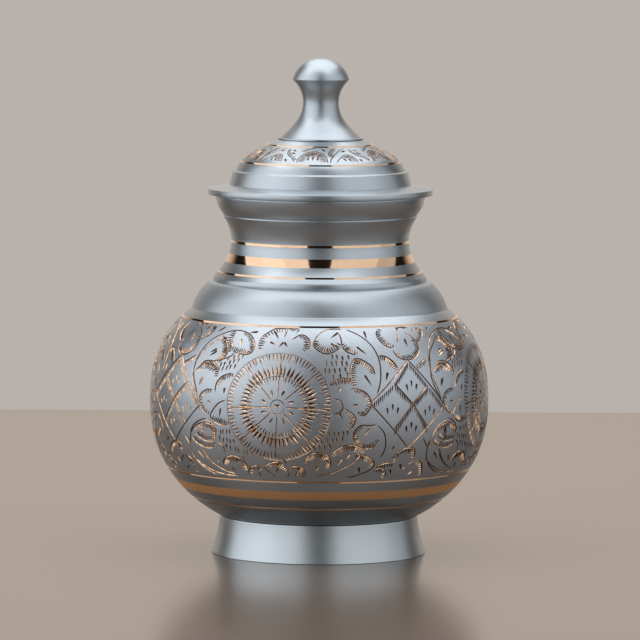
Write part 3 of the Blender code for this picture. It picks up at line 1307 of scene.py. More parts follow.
@dataclass
class BellyPattern:
    """One panel of the belly: a compass medallion, a diamond lattice, and leaves between them."""

    drawing: Drawing

    def draw(self) -> None:
        """Draw every motif."""
        self.medallion()
        self.lattice()
        self.flower_over_medallion()
        self.upper_left()
        self.upper_right()
        self.leaves_by_lattice()
        self.flower_over_lattice()
        self.right_of_lattice()
        self.lower_right()
        self.lower_middle()
        self.lower_left()
        self.left_middle()
        self.filling()

    def medallion(self) -> None:
        """The compass medallion with its spokes and its rings of ticks."""
        pen = self.drawing
        middle = (-14.0, 0.0)
        pen.ring(middle, 30, 0.36)
        pen.sunburst(middle, 29.8, 25.2, 88, 0.98)
        pen.ring(middle, 17.0, 0.36)
        pen.sunburst(middle, 17.2, 23.0, 54, 1.6)
        pen.sunburst(middle, 16.8, 13.8, 54, 0.95)
        pen.ring(middle, 4, 0.5)
        pen.ticks(((-15.0, 1.6), (-13.4, -1.4)), ((-13.2, 1.4), (-14.6, -0.4)))
        ends = ((-13.5, 29.5), (0.6, 20.5), (4.2, -1.2), (-2.6, -20.5))
        ends += ((-15, -29.5), (-27.6, -20.5), (-31.8, -1.6), (-26.2, 22.5))
        turns = [90, 42, -3, -44, -92, -138, 182, 134]
        for turn, end in zip(turns, ends):
            start = pen.round_point(middle, 4.3, math.radians(turn))
            pen.line([start, end], width=0.7 * MM)
        for turn in (66, 18, -24, -68, -115, -160, 158, 112):
            near = pen.round_point(middle, 9.8, math.radians(turn))
            far = pen.round_point(middle, 6.0, math.radians(turn + 4))
            pen.tick(near, far, 1.4)

    def lattice(self) -> None:
        """The diamond lattice: four cells, each with two combs and three teardrops."""
        pen = self.drawing
        left, top, right, bottom = (17.2, 2.0), (32.5, 25.5), (46.5, -1.0), (31.5, -23.5)
        wide = 0.8 * MM
        pen.line([left, top], width=wide)
        pen.line([top, right], width=wide)
        pen.line([right, bottom], width=wide)
        pen.line([bottom, left], width=wide)
        pen.line([(25.8, 13), (32, 2), (39, -12.5)], width=wide)
        pen.line([(39.5, 11), (34, 3), (25.5, -13)], width=wide)
        cells = (
            ((25.8, 13), (32.5, 25.5), (39.5, 11)),
            ((17.2, 2), (25.8, 13), (33, 2.5)),
            ((33, 2.5), (39.5, 11), (46.5, -1)),
            ((25.5, -13), (33, 2.5), (39, -12.5)),
        )
        for low_left, peak, low_right in cells:
            self.hang(low_left, peak, 11)
            self.hang(peak, low_right, 11)
            middle = ((low_left[0] + low_right[0]) / 2, peak[1] - 12)
            for shift, lean in ((-2.3, -0.4), (0.0, 0.0), (2.3, 0.5)):
                lift = 2.0 if not shift else 0.0
                start = (middle[0] + shift * 0.9, middle[1] + lift - 1.5)
                pen.tick(start, (start[0] - lean, start[1] - 4), 1.35)

    def hang(self, start: Point, end: Point, count: int) -> None:
        """Hang a comb of upright ticks under one side of a lattice cell.

        Args:
            start: The side's first end.
            end: Its other end.
            count: How many ticks it has.
        """
        pen = self.drawing
        for i in range(count):
            share = (i + 0.9) / (count + 0.6)
            top = tuple(a + (b - a) * share for a, b in zip(start, end))
            drop = 4.4 * pen.chance.uniform(0.8, 1.1)
            pen.tick((top[0], top[1] - 0.9), (top[0] - 0.15, top[1] - 0.9 - drop), 0.85)

    def flower_over_medallion(self) -> None:
        """The half flower that looks over the medallion."""
        pen = self.drawing
        pen.line(
            [(-22.5, 40.5), (-17, 46.5), (-11, 47.6), (-8, 46)], (0.1, 2.9), Side.RIGHT, 3.6, 1.6
        )
        pen.line([(-22.6, 40.5), (-23, 36.5), (-22.8, 32.5)], (0, 2), Side.LEFT, 3.0, 1.5)
        pen.line(
            [(-10.5, 38.5), (-7, 42), (-4.2, 39.5), (-3.6, 35), (-4.8, 31.5)],
            (1, 4),
            Side.RIGHT,
            3.0,
            1.5,
        )
        pen.ticks(
            ((-18, 44), (-15.5, 38.5)),
            ((-13.2, 44), (-13.5, 39.5)),
            ((-18.8, 36.8), (-16.5, 35.2)),
            ((-13.3, 37), (-15.2, 33.6)),
            ((-13.3, 37), (-11.8, 33.8)),
        )

    def upper_left(self) -> None:
        """The long scroll and the bell leaf left of the flower."""
        pen = self.drawing
        pen.line(
            [
                (-45.0, 4),
                (-48.4, 18),
                (-47, 30),
                (-43, 38),
                (-36, 43),
                (-30, 42.5),
                (-26.2, 39),
                (-24.4, 33),
                (-25.6, 28.5),
            ],
            (5, 8),
            Side.RIGHT,
            2.8,
        )
        pen.line([(-34.5, 42), (-35, 38), (-33.5, 33), (-33.2, 30)], (0, 3), Side.RIGHT, 3.6, 1.2)
        pen.line([(-33.4, 30.5), (-30, 28.8), (-25.8, 28.4)], (0, 2), Side.LEFT, 3.2, 1.3)
        pen.line([(-42, 22.8), (-37, 24.5), (-33, 27), (-31.8, 30)])
        pen.ticks(
            ((-31, 38), (-30, 33.5)),
            ((-24.7, 43), (-28.6, 42.4)),
            ((-41, 45.2), (-43.6, 41)),
            ((-40, 30.8), (-42.8, 28.2)),
            ((-37.6, 38.5), (-39.6, 35.4)),
        )

    def upper_right(self) -> None:
        """The hooked leaf and the long scroll right of the flower."""
        pen = self.drawing
        pen.line(
            [
                (9, 46.6),
                (4, 46.2),
                (0, 43),
                (-2, 38),
                (-2, 34.6),
                (0, 31.5),
                (3, 30),
                (7, 33),
                (8, 35),
            ],
            (3, 8),
            Side.LEFT,
            3.6,
        )
        pen.line([(7.5, 43.5), (8.3, 38), (8, 35)])
        pen.line([(8, 35), (10, 31), (13.4, 29.2)], (0, 2), Side.LEFT, 3.2, 1.3)
        pen.line(
            [(10.5, 45.8), (15, 42), (19, 36), (21, 29), (21.5, 22), (21, 14), (19.5, 6.5)]
        )
        pen.ticks(
            ((7.5, 43.8), (4, 39.5)),
            ((13.6, 34.4), (17.2, 29.2)),
            ((17.8, 44.6), (18.2, 38.5)),
            ((4.2, 36.6), (6.2, 34)),
        )

    def leaves_by_lattice(self) -> None:
        """The leaves between the medallion and the lattice."""
        pen = self.drawing
        pen.line(
            [(19.3, 17.5), (18.5, 22), (15.5, 26), (12.5, 27), (10.9, 22.5), (10.6, 17), (11, 12)],
            (0.3, 6),
            Side.LEFT,
            3.2,
            1.35,
        )
        pen.tick((15.4, 18), (18, 11.2), 1.2)
        pen.line([(21.3, 28.5), (24, 28), (26.5, 25), (28.2, 20.5)], (0, 3), Side.RIGHT, 3.2, 1.2)
        pen.tick((24, 19), (23, 14), 1.5)
        pen.line(
            [(10, 10), (13, 10), (16, 7.5), (17.4, 3), (17, -1), (15, -4.5), (13, -3.8)],
            (0.5, 6),
            Side.RIGHT,
            2.6,
            1.5,
        )
        pen.tick((12.9, 1.6), (10.8, 0.9), 1.4)
        pen.line([(4.5, 5), (7, 3.8), (7.9, 0), (6.6, -2.6), (4.8, -3.2)])
        pen.line(
            [(7.9, 0), (10, -2), (12, -5), (12, -8), (10.5, -12)], (1, 4), Side.RIGHT, 3.0, 1.3
        )
        pen.tick((6.6, -2.4), (7.9, -7), 1.4)
        pen.line([(3.6, 13.6), (8, 16.2), (11, 15)], (0, 2), Side.RIGHT, 3.0, 1.3)
        pen.tick((7, 11), (6.4, 8.2), 1.3)
        pen.line(
            [
                (19.5, -9.5),
                (17, -10),
                (13.8, -10),
                (11.6, -14),
                (12, -19),
                (14.2, -22.6),
                (18, -22.6),
                (20.5, -19.5),
            ],
            (2, 7),
            Side.LEFT,
            2.8,
            1.3,
        )
        pen.tick((17, -11.6), (15.2, -15.8), 1.5)
        pen.line([(19.5, -9.5), (22, -14), (22.9, -19), (22.8, -24), (21.5, -29)])
        pen.tick((26.6, -22), (24.6, -25.2), 1.5)

    def flower_over_lattice(self) -> None:
        """The flower over the lattice's top corner."""
        pen = self.drawing
        pen.line(
            [(24, 45.6), (22.6, 42), (23.5, 37), (26, 33.6), (28, 33)], (0.2, 4), Side.LEFT, 2.8, 1.4
        )
        pen.line(
            [
                (27.5, 32),
                (28.5, 28),
                (31, 25.8),
                (34.5, 25.6),
                (38, 29),
                (39, 34),
                (37.5, 40),
                (35, 43),
            ],
            (1, 5.6),
            Side.LEFT,
            3.0,
            1.35,
        )
        pen.line([(32, 42.5), (31.4, 39), (30, 36)])
        pen.line([(41, 46), (44.2, 44), (43.2, 39.5), (40.6, 36.4), (38.6, 35.6)], (0.4, 3.6), Side.RIGHT, 2.4)
        pen.line([(31.8, 43.4), (33.6, 46.2), (36.2, 46.6), (38.4, 44.6)])
        pen.ticks(
            ((34, 38.4), (34.2, 33)),
            ((40.2, 44.6), (39.4, 41.8)),
            ((32.2, 46.6), (33.0, 44)),
            ((35.4, 46.8), (36.6, 44.4)),
        )

    def right_of_lattice(self) -> None:
        """The big leaf, the scroll and the round leaf right of the lattice."""
        pen = self.drawing
        pen.line(
            [(50.5, 38.5), (47, 34), (43.5, 29), (42, 22), (41.4, 15), (43, 7.5), (45.6, 2)]
        )
        pen.line(
            [(49.5, 39.5), (53, 36), (55, 31), (54.5, 26), (52, 22.5)], (0.4, 4), Side.RIGHT, 3.6, 1.2
        )
        pen.tick((50.4, 29.4), (47.2, 26), 1.5)
        pen.line([(42.5, 17.2), (45, 20.6), (48, 21.6), (51, 19.2)], (0.4, 3), Side.RIGHT, 3.0, 1.4)
        pen.line([(34.8, 20.8), (38, 23.4), (41, 26.4)], (0.2, 1.8), Side.RIGHT, 2.6, 1.4)
        pen.tick((46, 13), (45.4, 9), 1.4)

    def lower_right(self) -> None:
        """The shell leaf and the crossing scrolls under the lattice's right corner."""
        pen = self.drawing
        pen.line(
            [(41, -18.4), (43.6, -13.6), (47.6, -11), (51, -11.6), (53, -14.6)],
            (1, 4),
            Side.RIGHT,
            2.8,
        )
        pen.line([(41.6, -19.6), (44, -23), (49, -25.2), (52.6, -23.4)], (0.3, 3), Side.LEFT, 2.8)
        pen.tick((47, -14.4), (47.8, -18.8), 1.4)
        pen.line([(37.4, -18.4), (38.6, -21), (40, -24.4)])
        pen.line([(40.4, -19.4), (40, -28), (42, -34), (46, -39), (50, -41.6)])
        pen.line([(45.4, -25), (48.6, -32), (53.4, -37.4), (58.6, -40)])
        pen.line([(26, -31), (27, -27), (31, -23.6), (34.4, -24.4), (35, -29)], (0, 4), Side.RIGHT, 3.0)
        pen.line([(36.4, -31), (38.6, -33), (40, -37.6), (40.4, -40.6)], (0, 3), Side.RIGHT, 2.8)
        pen.line([(20.8, -33.6), (24, -32), (26.4, -32.2)], (0, 2), Side.RIGHT, 2.6)
        pen.line([(35, -31), (33, -33.4), (31, -36.6)])
        pen.ticks(((35.6, -38), (33.8, -40.4)), ((29.6, -33), (30.6, -36.8)), ((26, -36), (26.8, -39.4)))
        pen.line([(19.8, -36), (22.6, -35), (24.6, -38), (24.4, -41)], (0, 3), Side.RIGHT, 2.4)

    def lower_middle(self) -> None:
        """The leaves and the small flower along the lower border."""
        pen = self.drawing
        pen.line([(4.4, -25.6), (8, -21.6), (12, -21), (15.4, -23.8)], (0, 3), Side.RIGHT, 3.4, 1.2)
        pen.line([(15, -25), (12, -31), (8, -35), (4, -38), (-1, -39.6)])
        pen.line(
            [(13, -26), (17, -28), (19.6, -31.6), (18.2, -36), (14, -39), (10, -40.8)],
            (0, 2.6),
            Side.RIGHT,
            3.0,
            1.2,
        )
        pen.ticks(((8, -28.4), (6.4, -33.2)), ((14, -34), (14.6, -38.2)), ((10.4, -26), (9.4, -29)))
        pen.line(
            [(-5, -30.4), (-3, -26.2), (0, -25.2), (3, -26.8), (4.1, -31), (3.8, -34.4)],
            (0, 5),
            Side.RIGHT,
            3.2,
            1.25,
        )
        pen.tick((-0.2, -33), (-1.1, -36.8), 1.5)
        pen.line([(-20, -34.4), (-17, -32), (-14, -31.2), (-11, -35)], (0, 3), Side.RIGHT, 3.0, 1.25)
        pen.line(
            [(-10, -34.2), (-7, -33.4), (-5, -36), (-5, -40.2)], (0, 3), Side.RIGHT, 2.8, 1.25
        )
        pen.line([(-25.4, -38), (-24.6, -35), (-22, -33.6), (-20.4, -35)], (0, 3), Side.RIGHT, 2.6)
        pen.line([(-20, -35), (-18, -37.4), (-15.6, -40.8)])
        pen.line([(-11, -35.4), (-10.6, -38), (-11.6, -41)])
        pen.ticks(
            ((-14.8, -35), (-15.4, -38.4)),
            ((-22, -37.8), (-21, -40.6)),
            ((-7.6, -37.4), (-8.4, -40.4)),
        )
        pen.line(
            [
                (-35.8, -35),
                (-34.6, -30.6),
                (-31, -28.6),
                (-27.4, -31),
                (-25.8, -35),
                (-26.2, -40),
            ],
            (0.3, 4.4),
            Side.RIGHT,
            3.4,
            1.2,
        )
        pen.tick((-32.3, -35.6), (-31.4, -39), 1.5)

    def lower_left(self) -> None:
        """The two long scrolls and the round leaf left of the medallion's foot."""
        pen = self.drawing
        pen.line([(-50, -31), (-45.4, -36), (-40.6, -39.4), (-36, -40.8), (-30.6, -41.2)])
        pen.line([(-44, -28), (-41.2, -33), (-37.4, -37), (-33.4, -39.6)])
        pen.line(
            [(-49.6, -24.6), (-48, -15), (-44.4, -10.4), (-40.4, -9), (-37.2, -13), (-37, -19)],
            (3.6, 5),
            Side.RIGHT,
            3.2,
            1.3,
        )
        pen.line([(-46.4, -17.6), (-42, -21), (-37.2, -20.6)], (0.3, 2), Side.LEFT, 3.2, 1.3)
        pen.line([(-36.8, -20.8), (-34.4, -23.4), (-34, -28)])
        pen.ticks(((-42.6, -13), (-41.8, -17.2)), ((-38.4, -30), (-37.4, -34)), ((-46.6, -27), (-44, -32)))

    def left_middle(self) -> None:
        """The leaves between the lattice on the left and the medallion."""
        pen = self.drawing
        pen.line(
            [(-38, 7.6), (-41, 7.4), (-43.6, 4.6), (-43.9, 1), (-42.4, -4), (-40, -6.2)],
            (0.4, 5),
            Side.LEFT,
            2.4,
            1.7,
        )
        pen.tick((-40.4, 1), (-38.6, 0.6), 1.4)
        pen.line([(-32.6, 2.4), (-35.4, 0.6), (-37.6, -3), (-39, -6.6), (-38.2, -9)])
        pen.line([(-38.2, -9), (-35, -11.2), (-31.6, -11)], (0, 2), Side.LEFT, 3.2, 1.2)
        pen.tick((-34.6, -2), (-35.2, -7.2), 1.4)
        pen.line(
            [(-46, 19), (-44.2, 22.8), (-40.4, 23.4), (-37.4, 20), (-36.8, 15.4)],
            (0.5, 4),
            Side.RIGHT,
            3.2,
            1.25,
        )
        pen.tick((-43.4, 14.2), (-43.9, 10), 1.4)
        pen.line(
            [(-37.2, 6), (-37, 11), (-35, 15.2), (-31, 17.6)], (1, 3), Side.RIGHT, 2.8, 1.2
        )
        pen.tick((-33.4, 9.2), (-33.6, 5.6), 1.6)

    def filling(self) -> None:
        """Rows of loose ticks on the ground between the leaves and the medallion."""
        pen = self.drawing
        rows = (
            ((-36.2, 21.6), (-29.4, 24.6), 5, 0.5),
            ((-36.6, 18.6), (-30.2, 21.4), 5, 0.5),
            ((-33.6, 25.4), (-28, 27.2), 4, 0.3),
            ((-36.4, -15.4), (-31, -15), 5, 0.2),
            ((-35.6, -19.4), (-29.8, -20.6), 5, -0.2),
            ((-33, -23.4), (-23.6, -27.2), 7, -0.2),
            ((-27, -29.6), (-12, -31.2), 2, -0.2),
            ((1.6, 20.4), (8.8, 20.4), 5, -0.3),
            ((2.4, 24.2), (9.2, 24), 5, -0.3),
            ((4.4, 28), (10, 27.4), 4, -0.3),
            ((4.6, 16.8), (9.6, 17.6), 3, -0.2),
            ((0.8, -19.2), (7.6, -17.4), 5, -0.3),
            ((3.2, -15), (9.6, -14.2), 5, -0.2),
            ((-3.4, -22.8), (3.4, -22), 5, -0.3),
        )
        for start, end, count, lean in rows:
            for i in range(count):
                share = i / max(1, count - 1)
                x = start[0] + (end[0] - start[0]) * share + pen.chance.uniform(-0.25, 0.25)
                y = start[1] + (end[1] - start[1]) * share + pen.chance.uniform(-0.4, 0.4)
                pen.tick((x, y + 1.7), (x - lean, y - 1.9), 1.15)


@dataclass
class LidPattern:
    """One panel of the lid's dome: a fan leaf, a leaning leaf and slanting lines between them."""

    drawing: Drawing

    def draw(self) -> None:
        """Draw every motif."""
        pen = self.drawing
        top, low = 16.4, 1.0
        pen.line([(-12, low), (-11, 6), (-7, 10.6), (0, 12.6), (7, 10.6), (10.5, 6), (11.5, low)], (0.3, 5.7), Side.RIGHT, 4.6, 1.05)
        pen.line([(13, low), (15, 5.4), (19, 9.6), (24, 13.4), (31, top)])
        pen.line([(-10, 12), (-4, 14.8), (2, top)], (0.1, 1.8), Side.LEFT, 1.8, 1.05)
        pen.line([(14, 5.6), (13, 10), (16.5, 14.6), (22, 15.6)], (0.2, 2.6), Side.RIGHT, 2.6, 1.05)
        pen.line([(17.5, low), (21, 4.8), (26, 8.4), (31, 8.6), (34.5, 5), (35, low)], (1.2, 4.7), Side.RIGHT, 3.6, 1.05)
        pen.line([(33, 15.4), (35, 11), (38.5, 7.6), (43, 5.2), (46.5, 1.4)], (0.2, 3.6), Side.LEFT, 2.4, 1.05)
        pen.ticks(
            ((0, 7.2), (0, 3.0)),
            ((-4.2, 6.4), (-3.2, 2.8)),
            ((4.2, 6.4), (3.2, 2.8)),
            ((26, 12.4), (31, 13.4)),
            ((24.5, 5), (26.4, 2.4)),
            ((28.5, 4.6), (30.2, 2.2)),
            ((39, 13.8), (43.5, 12.2)),
            ((40, 10.8), (44.6, 9.2)),
            ((37.5, 4.4), (39.6, 2.0)),
            ((7.4, 15.4), (10.4, 12.2)),
        )


@dataclass
class Lid:
    """The domed lid: brim, drum, small ledge and dome, with a spigot that sits in the neck."""

    rim: Point
    lip_radius: float
    seat_gap: float = 0.3 * MM
    wall: float = 1.8 * MM
    brim_overhang: float = 4.1 * MM
    brim_thickness: float = 3.2 * MM
    brim_rise: float = 2.3 * MM
    brim_width: float = 11.8 * MM
    drum_height: float = 7.4 * MM
    drum_taper: float = 2 * MM
    ledge_width: float = 1.7 * MM
    ledge_height: float = 0.6 * MM
    dome_round: float = 17.4 * MM
    dome_start: float = math.radians(19)
    dome_end: float = math.radians(63)
    spigot_height: float = 11 * MM
    spigot_clearance: float = 0.6 * MM
    seat_radius: float = 24.4 * MM
    columns: int = 160
    low_line: Point = (219.5 * MM, 220.3 * MM)
    top_line: Point = (229.1 * MM, 229.7 * MM)

    def levels(self) -> dict[str, Point]:
        """The lid's corners, as (r, z)."""
        underside = self.rim[1] + self.seat_gap
        brim = (self.rim[0] + self.brim_overhang, underside + self.brim_thickness)
        drum_foot = (brim[0] - self.brim_width, brim[1] + self.brim_rise)
        drum_top = (drum_foot[0] - self.drum_taper, drum_foot[1] + self.drum_height)
        dome_foot = (drum_top[0] - self.ledge_width, drum_top[1] + self.ledge_height)
        size, start, end = self.dome_round, self.dome_start, self.dome_end
        dome_turn = (
            dome_foot[0] - size * (math.cos(start) - math.cos(end)),
            dome_foot[1] + size * (math.sin(end) - math.sin(start)),
        )
        climb = (dome_turn[0] - self.seat_radius) * math.tan(math.pi / 2 - end)
        return {
            "underside": (brim[0], underside),
            "brim": brim,
            "drum_foot": drum_foot,
            "drum_top": drum_top,
            "dome_foot": dome_foot,
            "dome_turn": dome_turn,
            "seat": (self.seat_radius, dome_turn[1] + climb),
        }

    def dome(self) -> TurnedCurve:
        """The dome's curve, from its foot to the knob's seat."""
        at = self.levels()
        points = [at["dome_foot"]]
        points += arc(at["dome_foot"], at["dome_turn"], self.dome_round, math.radians(1))
        top, seat = at["dome_turn"], at["seat"]
        points += [
            (top[0] + (seat[0] - top[0]) * i / 40, top[1] + (seat[1] - top[1]) * i / 40)
            for i in range(1, 41)
        ]
        return TurnedCurve(points, self.low_line[1])

    def build(self) -> bpy.types.Object:
        """Turn the lid, engrave it and dress it.

        Returns:
            The piece.
        """
        at = self.levels()
        dome = self.dome()
        turning = Turning("lid_body", self.columns)
        spigot = self.lip_radius - 1.6 * MM - self.spigot_clearance
        inner = spigot - self.wall
        underside = at["underside"][1]
        foot = underside - self.spigot_height
        middle = (self.low_line[0] + self.low_line[1]) / 2
        low = dome.span(at["dome_foot"][1], self.low_line[1])
        low = [p for p in low if p[1] < self.low_line[0] - 0.1 * MM or p[1] >= self.low_line[1]]
        edge = float(np.interp(self.low_line[0], dome.heights, dome.radii))
        deep = float(np.interp(middle, dome.heights, dome.radii))
        tuck = 0.01 * MM
        face = [(deep, self.low_line[0] + tuck), (deep, self.low_line[1] - tuck)]
        low = low[:-1] + [(edge, self.low_line[0])] + face + [low[-1]]
        outer = [
            (inner, foot),
            (spigot, foot),
            (spigot, underside),
            at["underside"],
            at["brim"],
            at["drum_foot"],
            at["drum_top"],
        ]
        turning.spin(outer + low)
        top_middle = sum(self.top_line) / 2
        high = dome.span(self.top_line[0], at["seat"][1])
        high = [high[0]] + [p for p in high if p[1] > self.top_line[1] + 0.1 * MM]
        deep = float(np.interp(top_middle, dome.heights, dome.radii))
        edge = float(np.interp(self.top_line[1], dome.heights, dome.radii))
        face = [(deep, self.top_line[0] + tuck), (deep, self.top_line[1] - tuck)]
        high = [high[0]] + face + [(edge, self.top_line[1])] + high[1:]
        ceiling = at["seat"][1] - self.wall
        smooth = [at["drum_foot"], at["drum_top"]]
        smooth += arc(at["dome_foot"], at["dome_turn"], self.dome_round, math.radians(9))
        smooth.append(at["seat"])
        hollow = set_in(smooth, self.wall)
        hollow[-1] = (hollow[-1][0], ceiling)
        down = [(0, ceiling)] + hollow[::-1][:-1] + [(inner, hollow[0][1]), (inner, foot)]
        turning.spin(high + [(0, at["seat"][1])])
        turning.spin(down)
        band = GraverBand(dome, 38 * MM, dome.rise_at(self.low_line[1]), dome.rise_at(self.top_line[0]))
        # The lid's cuts lean so that a larger share of each cut is painted shade.
        band.cell, band.lean = 2.4 * MM, -0.5
        drawing = Drawing(
            dome, 38 * MM, band.low, band.high, 8.0, 0.56 * MM, 0.62 * MM, seed=9
        )
        LidPattern(drawing).draw()
        band.take(drawing, 6)
        band.press(turning.shell, self.columns)
        turning.close()
        turning.round_edges(
            (*at["underside"], 0.3 * MM),
            (*at["brim"], 0.2 * MM),
            (*at["drum_top"], 0.35 * MM),
            (*at["dome_foot"], 0.2 * MM),
        )
        turning.paint(Slot.INSIDE, lambda r, z: r < spigot - 0.5 * MM and z < ceiling and z < 206 * MM)
        bands = (self.low_line, self.top_line)
        turning.paint(Slot.BAND, lambda r, z: any(a < z < b for a, b in bands) and self.on_dome(dome, r, z))
        finishes = (LID_SATIN, COPPER_BAND, COPPER_CUT, LID_ENGRAVED, BRASS_INSIDE, CUT_SHADE)
        return turning.finish([f.make() for f in finishes], dome)

    @staticmethod
    def on_dome(dome: TurnedCurve, r: float, z: float) -> bool:
        """Whether a place is on the dome's outside."""
        return r > float(np.interp(z, dome.heights, dome.radii)) - MM


@dataclass
class Foot:
    """The flared foot ring, hollow below, with a shelf that the vessel stands on."""

    base_radius: float
    height: float = 21.2 * MM
    flare: float = 4.7 * MM
    side_radius: float = 80 * MM
    inset: float = 0.4 * MM
    wall: float = 2.2 * MM
    shelf_width: float = 8 * MM
    tread_width: float = 4.5 * MM
    tread_height: float = 2.5 * MM
    columns: int = 160

    def build(self) -> bpy.types.Object:
        """Turn and dress the foot ring.

        Returns:
            The piece.
        """
        top = (self.base_radius - self.inset, self.height)
        bottom = (top[0] + self.flare, 0.0)
        side = arc(bottom, top, -self.side_radius, math.radians(0.8))
        under = self.height - self.wall
        inner = bottom[0] - self.flare * self.tread_height / self.height - self.wall
        tread = bottom[0] - self.tread_width
        shelf = top[0] - self.shelf_width
        profile = [
            (tread, 0.0),
            (tread, self.tread_height),
            (inner, self.tread_height),
            (top[0] - self.wall, under),
            (shelf, under),
            (shelf, self.height),
        ]
        profile += side[::-1] + [bottom, (tread, 0.0)]
        turning = Turning("foot_ring_body", self.columns)
        turning.spin(profile)
        turning.close()
        turning.round_edges((*top, 0.5 * MM), (*bottom, 0.45 * MM))
        return turning.finish([FOOT_SATIN.make()])


@dataclass
class Knob:
    """The solid turned knob: spreading base, slim waist and domed cap."""

    seat_height: float
    base_radius: float = 23.9 * MM
    base_edge: float = 0.7 * MM
    waist_radius: float = 10.05 * MM
    waist_rise: float = 19.5 * MM
    flare_rise: float = 4.4 * MM
    flare_out: float = 7.95 * MM
    cone_foot: float = 22.5 * MM
    upper_sweep: float = 17.3 * MM
    upper_turn: float = math.radians(46.5)
    edge: float = 0.5 * MM
    cap_height: float = 12.4 * MM
    columns: int = 128

    def build(self) -> bpy.types.Object:
        """Turn and dress the knob.

        Returns:
            The piece.
        """
        base = self.seat_height
        rim = (self.base_radius, base + self.base_edge)
        waist = (self.waist_radius, rim[1] + self.waist_rise)
        height = self.waist_rise - self.flare_rise
        flare = [
            (self.waist_radius + self.flare_out * (1 - i / 14) ** 2, waist[1] - height * (1 - i / 14))
            for i in range(14)
        ]
        under = (
            self.waist_radius + self.upper_sweep * (1 - math.cos(self.upper_turn)),
            waist[1] + self.upper_sweep * math.sin(self.upper_turn),
        )
        cap_edge = (under[0] + self.edge, under[1] + self.edge)
        cap_round = (self.cap_height**2 + cap_edge[0] ** 2) / (2 * self.cap_height)
        profile = [(0, base), (self.base_radius, base), rim, (self.cone_foot, rim[1] + 0.12 * MM)]
        profile += flare + [waist] + arc(waist, under, -self.upper_sweep)
        profile += [cap_edge] + arc(cap_edge, (0, cap_edge[1] + self.cap_height), cap_round)
        turning = Turning("knob_body", self.columns)
        turning.spin(profile)
        turning.close()
        turning.round_edges((*rim, 0.2 * MM), (*cap_edge, 0.35 * MM), (*under, 0.25 * MM))
        return turning.finish([POLISHED.make()])


# ---------------------------------------------------------------- studio


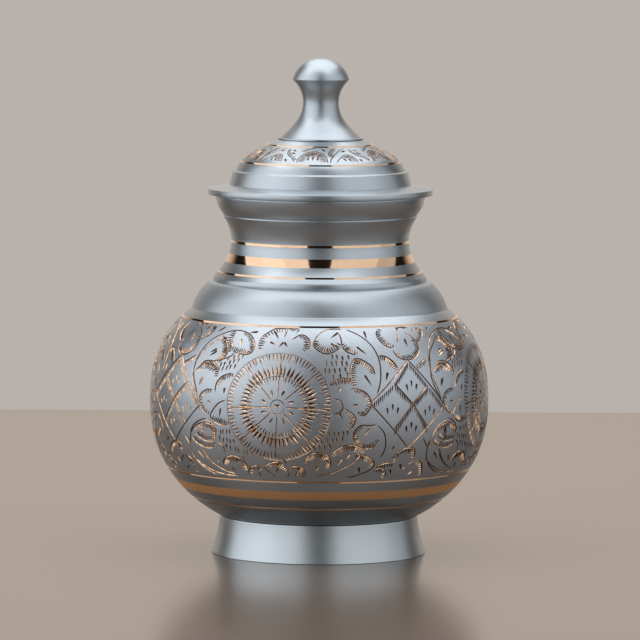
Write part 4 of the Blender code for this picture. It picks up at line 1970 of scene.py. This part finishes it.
@dataclass
class Studio:
    """Plain pale floor, soft light from both sides and above, and the camera."""

    view_turn: float = math.radians(14)
    view_down: float = math.radians(5.03)
    view_roll: float = math.radians(0.33)
    view_shift: float = 0.0006
    distance: float = 3.198
    target_height: float = 130.6 * MM
    lens: float = 320.6
    floor_half: float = 0.76
    wall_glow: float = 0.485
    wall_mirrored: float = 0.72
    panel_distance: float = 1.2
    panel_height: float = 1.95
    panels: tuple[tuple[float, float, float], ...] = (
        (-33.5, 17.5, 1.1),
        (-67, 16, 1.36),
        (-97, 14, 1.25),
        (33.5, 17.5, 0.93),
        (67, 16, 0.9),
        (98, 15, 0.6),
    )

    def around(self, turn: float, distance: float, height: float) -> Vector:
        """A place round the urn.

        Args:
            turn: Degrees from the camera's side, to the right positive.
            distance: How far from the axis.
            height: Its height.

        Returns:
            The place.
        """
        at = self.view_turn + math.radians(turn)
        return Vector((distance * math.sin(at), -distance * math.cos(at), height))

    def camera(self) -> None:
        """Place the camera."""
        data = bpy.data.cameras.new("view")
        data.sensor_width = 36
        data.lens = self.lens
        data.shift_x = self.view_shift
        data.clip_end = 20
        thing = bpy.data.objects.new("view", data)
        bpy.context.scene.collection.objects.link(thing)
        target = Vector((0, 0, self.target_height))
        out = self.distance * math.cos(self.view_down)
        rise = self.distance * math.sin(self.view_down)
        thing.location = self.around(0, out, self.target_height + rise)
        turn = (target - thing.location).to_track_quat("-Z", "Y").to_matrix()
        thing.rotation_euler = turn.to_euler()
        thing.rotation_euler.rotate_axis("Z", self.view_roll)
        bpy.context.scene.camera = thing

    def soft_box(self, name: str, place: Vector, aim: Vector, size: Point, glow: float) -> None:
        """Hang a soft box.

        Args:
            name: Its name.
            place: Where its middle is.
            aim: What it faces.
            size: Its width and height.
            glow: How bright its face is.
        """
        data = bpy.data.lights.new(name, "AREA")
        data.shape = "RECTANGLE"
        data.size, data.size_y = size
        data.energy = glow * math.pi * size[0] * size[1]
        data.color = (0.97, 0.985, 1.0)
        thing = bpy.data.objects.new(name, data)
        bpy.context.scene.collection.objects.link(thing)
        thing.location = place
        thing.rotation_euler = (aim - place).to_track_quat("-Z", "Y").to_euler()
        thing.visible_camera = False

    def floor(self) -> None:
        """Lay the plain pale floor, whose far edge lies square to the camera."""
        shell = bmesh.new()
        bmesh.ops.create_grid(shell, x_segments=1, y_segments=1, size=self.floor_half)
        bmesh.ops.rotate(
            shell, verts=shell.verts[:], matrix=Matrix.Rotation(self.view_turn, 3, "Z")
        )
        mesh = bpy.data.meshes.new("floor")
        shell.to_mesh(mesh)
        shell.free()
        thing = bpy.data.objects.new("floor", mesh)
        bpy.context.scene.collection.objects.link(thing)
        sheet = NodeSheet("floor")
        sheet.set(Base_Color=(0.18, 0.138, 0.11), Roughness=0.19, IOR=1.7)
        mesh.materials.append(sheet.material)

    def room(self) -> None:
        """A dim room with a pale wall behind the urn, seen plain by the camera."""
        world = bpy.data.worlds.new("studio")
        bpy.context.scene.world = world
        world.use_nodes = True
        tree = world.node_tree
        back = tree.nodes["Background"]
        towards = tree.nodes.new("ShaderNodeTexCoord")
        wall = tree.nodes.new("ShaderNodeVectorMath")
        wall.operation = "DOT_PRODUCT"
        wall.inputs[1].default_value = self.around(180, 1, 0)
        share = tree.nodes.new("ShaderNodeMapRange")
        share.interpolation_type = "SMOOTHSTEP"
        share.inputs["From Min"].default_value = 0.62
        share.inputs["From Max"].default_value = 0.92
        share.inputs["To Min"].default_value = 0.012
        share.inputs["To Max"].default_value = self.wall_mirrored
        ray = tree.nodes.new("ShaderNodeLightPath")
        glow = tree.nodes.new("ShaderNodeMix")
        glow.inputs["B"].default_value = self.wall_glow
        tree.links.new(towards.outputs["Generated"], wall.inputs[0])
        tree.links.new(wall.outputs["Value"], share.inputs["Value"])
        tree.links.new(share.outputs[0], glow.inputs["A"])
        tree.links.new(ray.outputs["Is Camera Ray"], glow.inputs["Factor"])
        tree.links.new(glow.outputs["Result"], back.inputs["Strength"])
        tint = tree.nodes.new("ShaderNodeMix")
        tint.data_type = "RGBA"
        tint.inputs[6].default_value = (1.0, 0.87, 0.76, 1)
        tint.inputs[7].default_value = (1.0, 0.917, 0.851, 1)
        tree.links.new(ray.outputs["Is Camera Ray"], tint.inputs["Factor"])
        tree.links.new(tint.outputs[2], back.inputs["Color"])
        bpy.context.scene.view_settings.view_transform = "Standard"

    def build(self) -> None:
        """Set up the studio."""
        self.room()
        tall = self.panel_height
        for i, (turn, half, glow) in enumerate(self.panels):
            place = self.around(turn, self.panel_distance, tall / 2 + 0.01)
            wide = 2 * self.panel_distance * math.tan(math.radians(half))
            self.soft_box(f"panel_{i}", place, Vector((0, 0, place.z)), (wide, tall), glow)
        place = self.around(180, 0.385, 1.5)
        self.soft_box("top", place, place - Vector((0, 0, 1)), (1.9, 2.03), 1.85)
        self.floor()
        self.camera()


def main() -> None:
    """Build the urn and its studio."""
    logging.basicConfig(level=logging.INFO, format="%(name)s: %(message)s")
    vessel = Vessel()
    at = vessel.levels()
    lid = Lid(at["rim"], at["lip"][0])
    base_radius = vessel.belly_at(-vessel.belly_rise)
    pieces = (
        (vessel, "urn_vessel", "engraved_pewter"),
        (lid, "lid", "lid_pewter"),
        (Foot(base_radius), "foot_ring", "satin_pewter"),
        (Knob(lid.levels()["seat"][1] + lid.seat_gap), "lid_knob", "polished_pewter"),
    )
    for maker, node, slot in pieces:
        piece = maker.build()
        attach(piece, "root")
        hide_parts(node)
        triangles = sum(len(p.vertices) - 2 for p in piece.data.polygons)
        log.info("%s: %d triangles", piece.name, triangles)
    Studio().build()


if __name__ == "__main__":
    main()
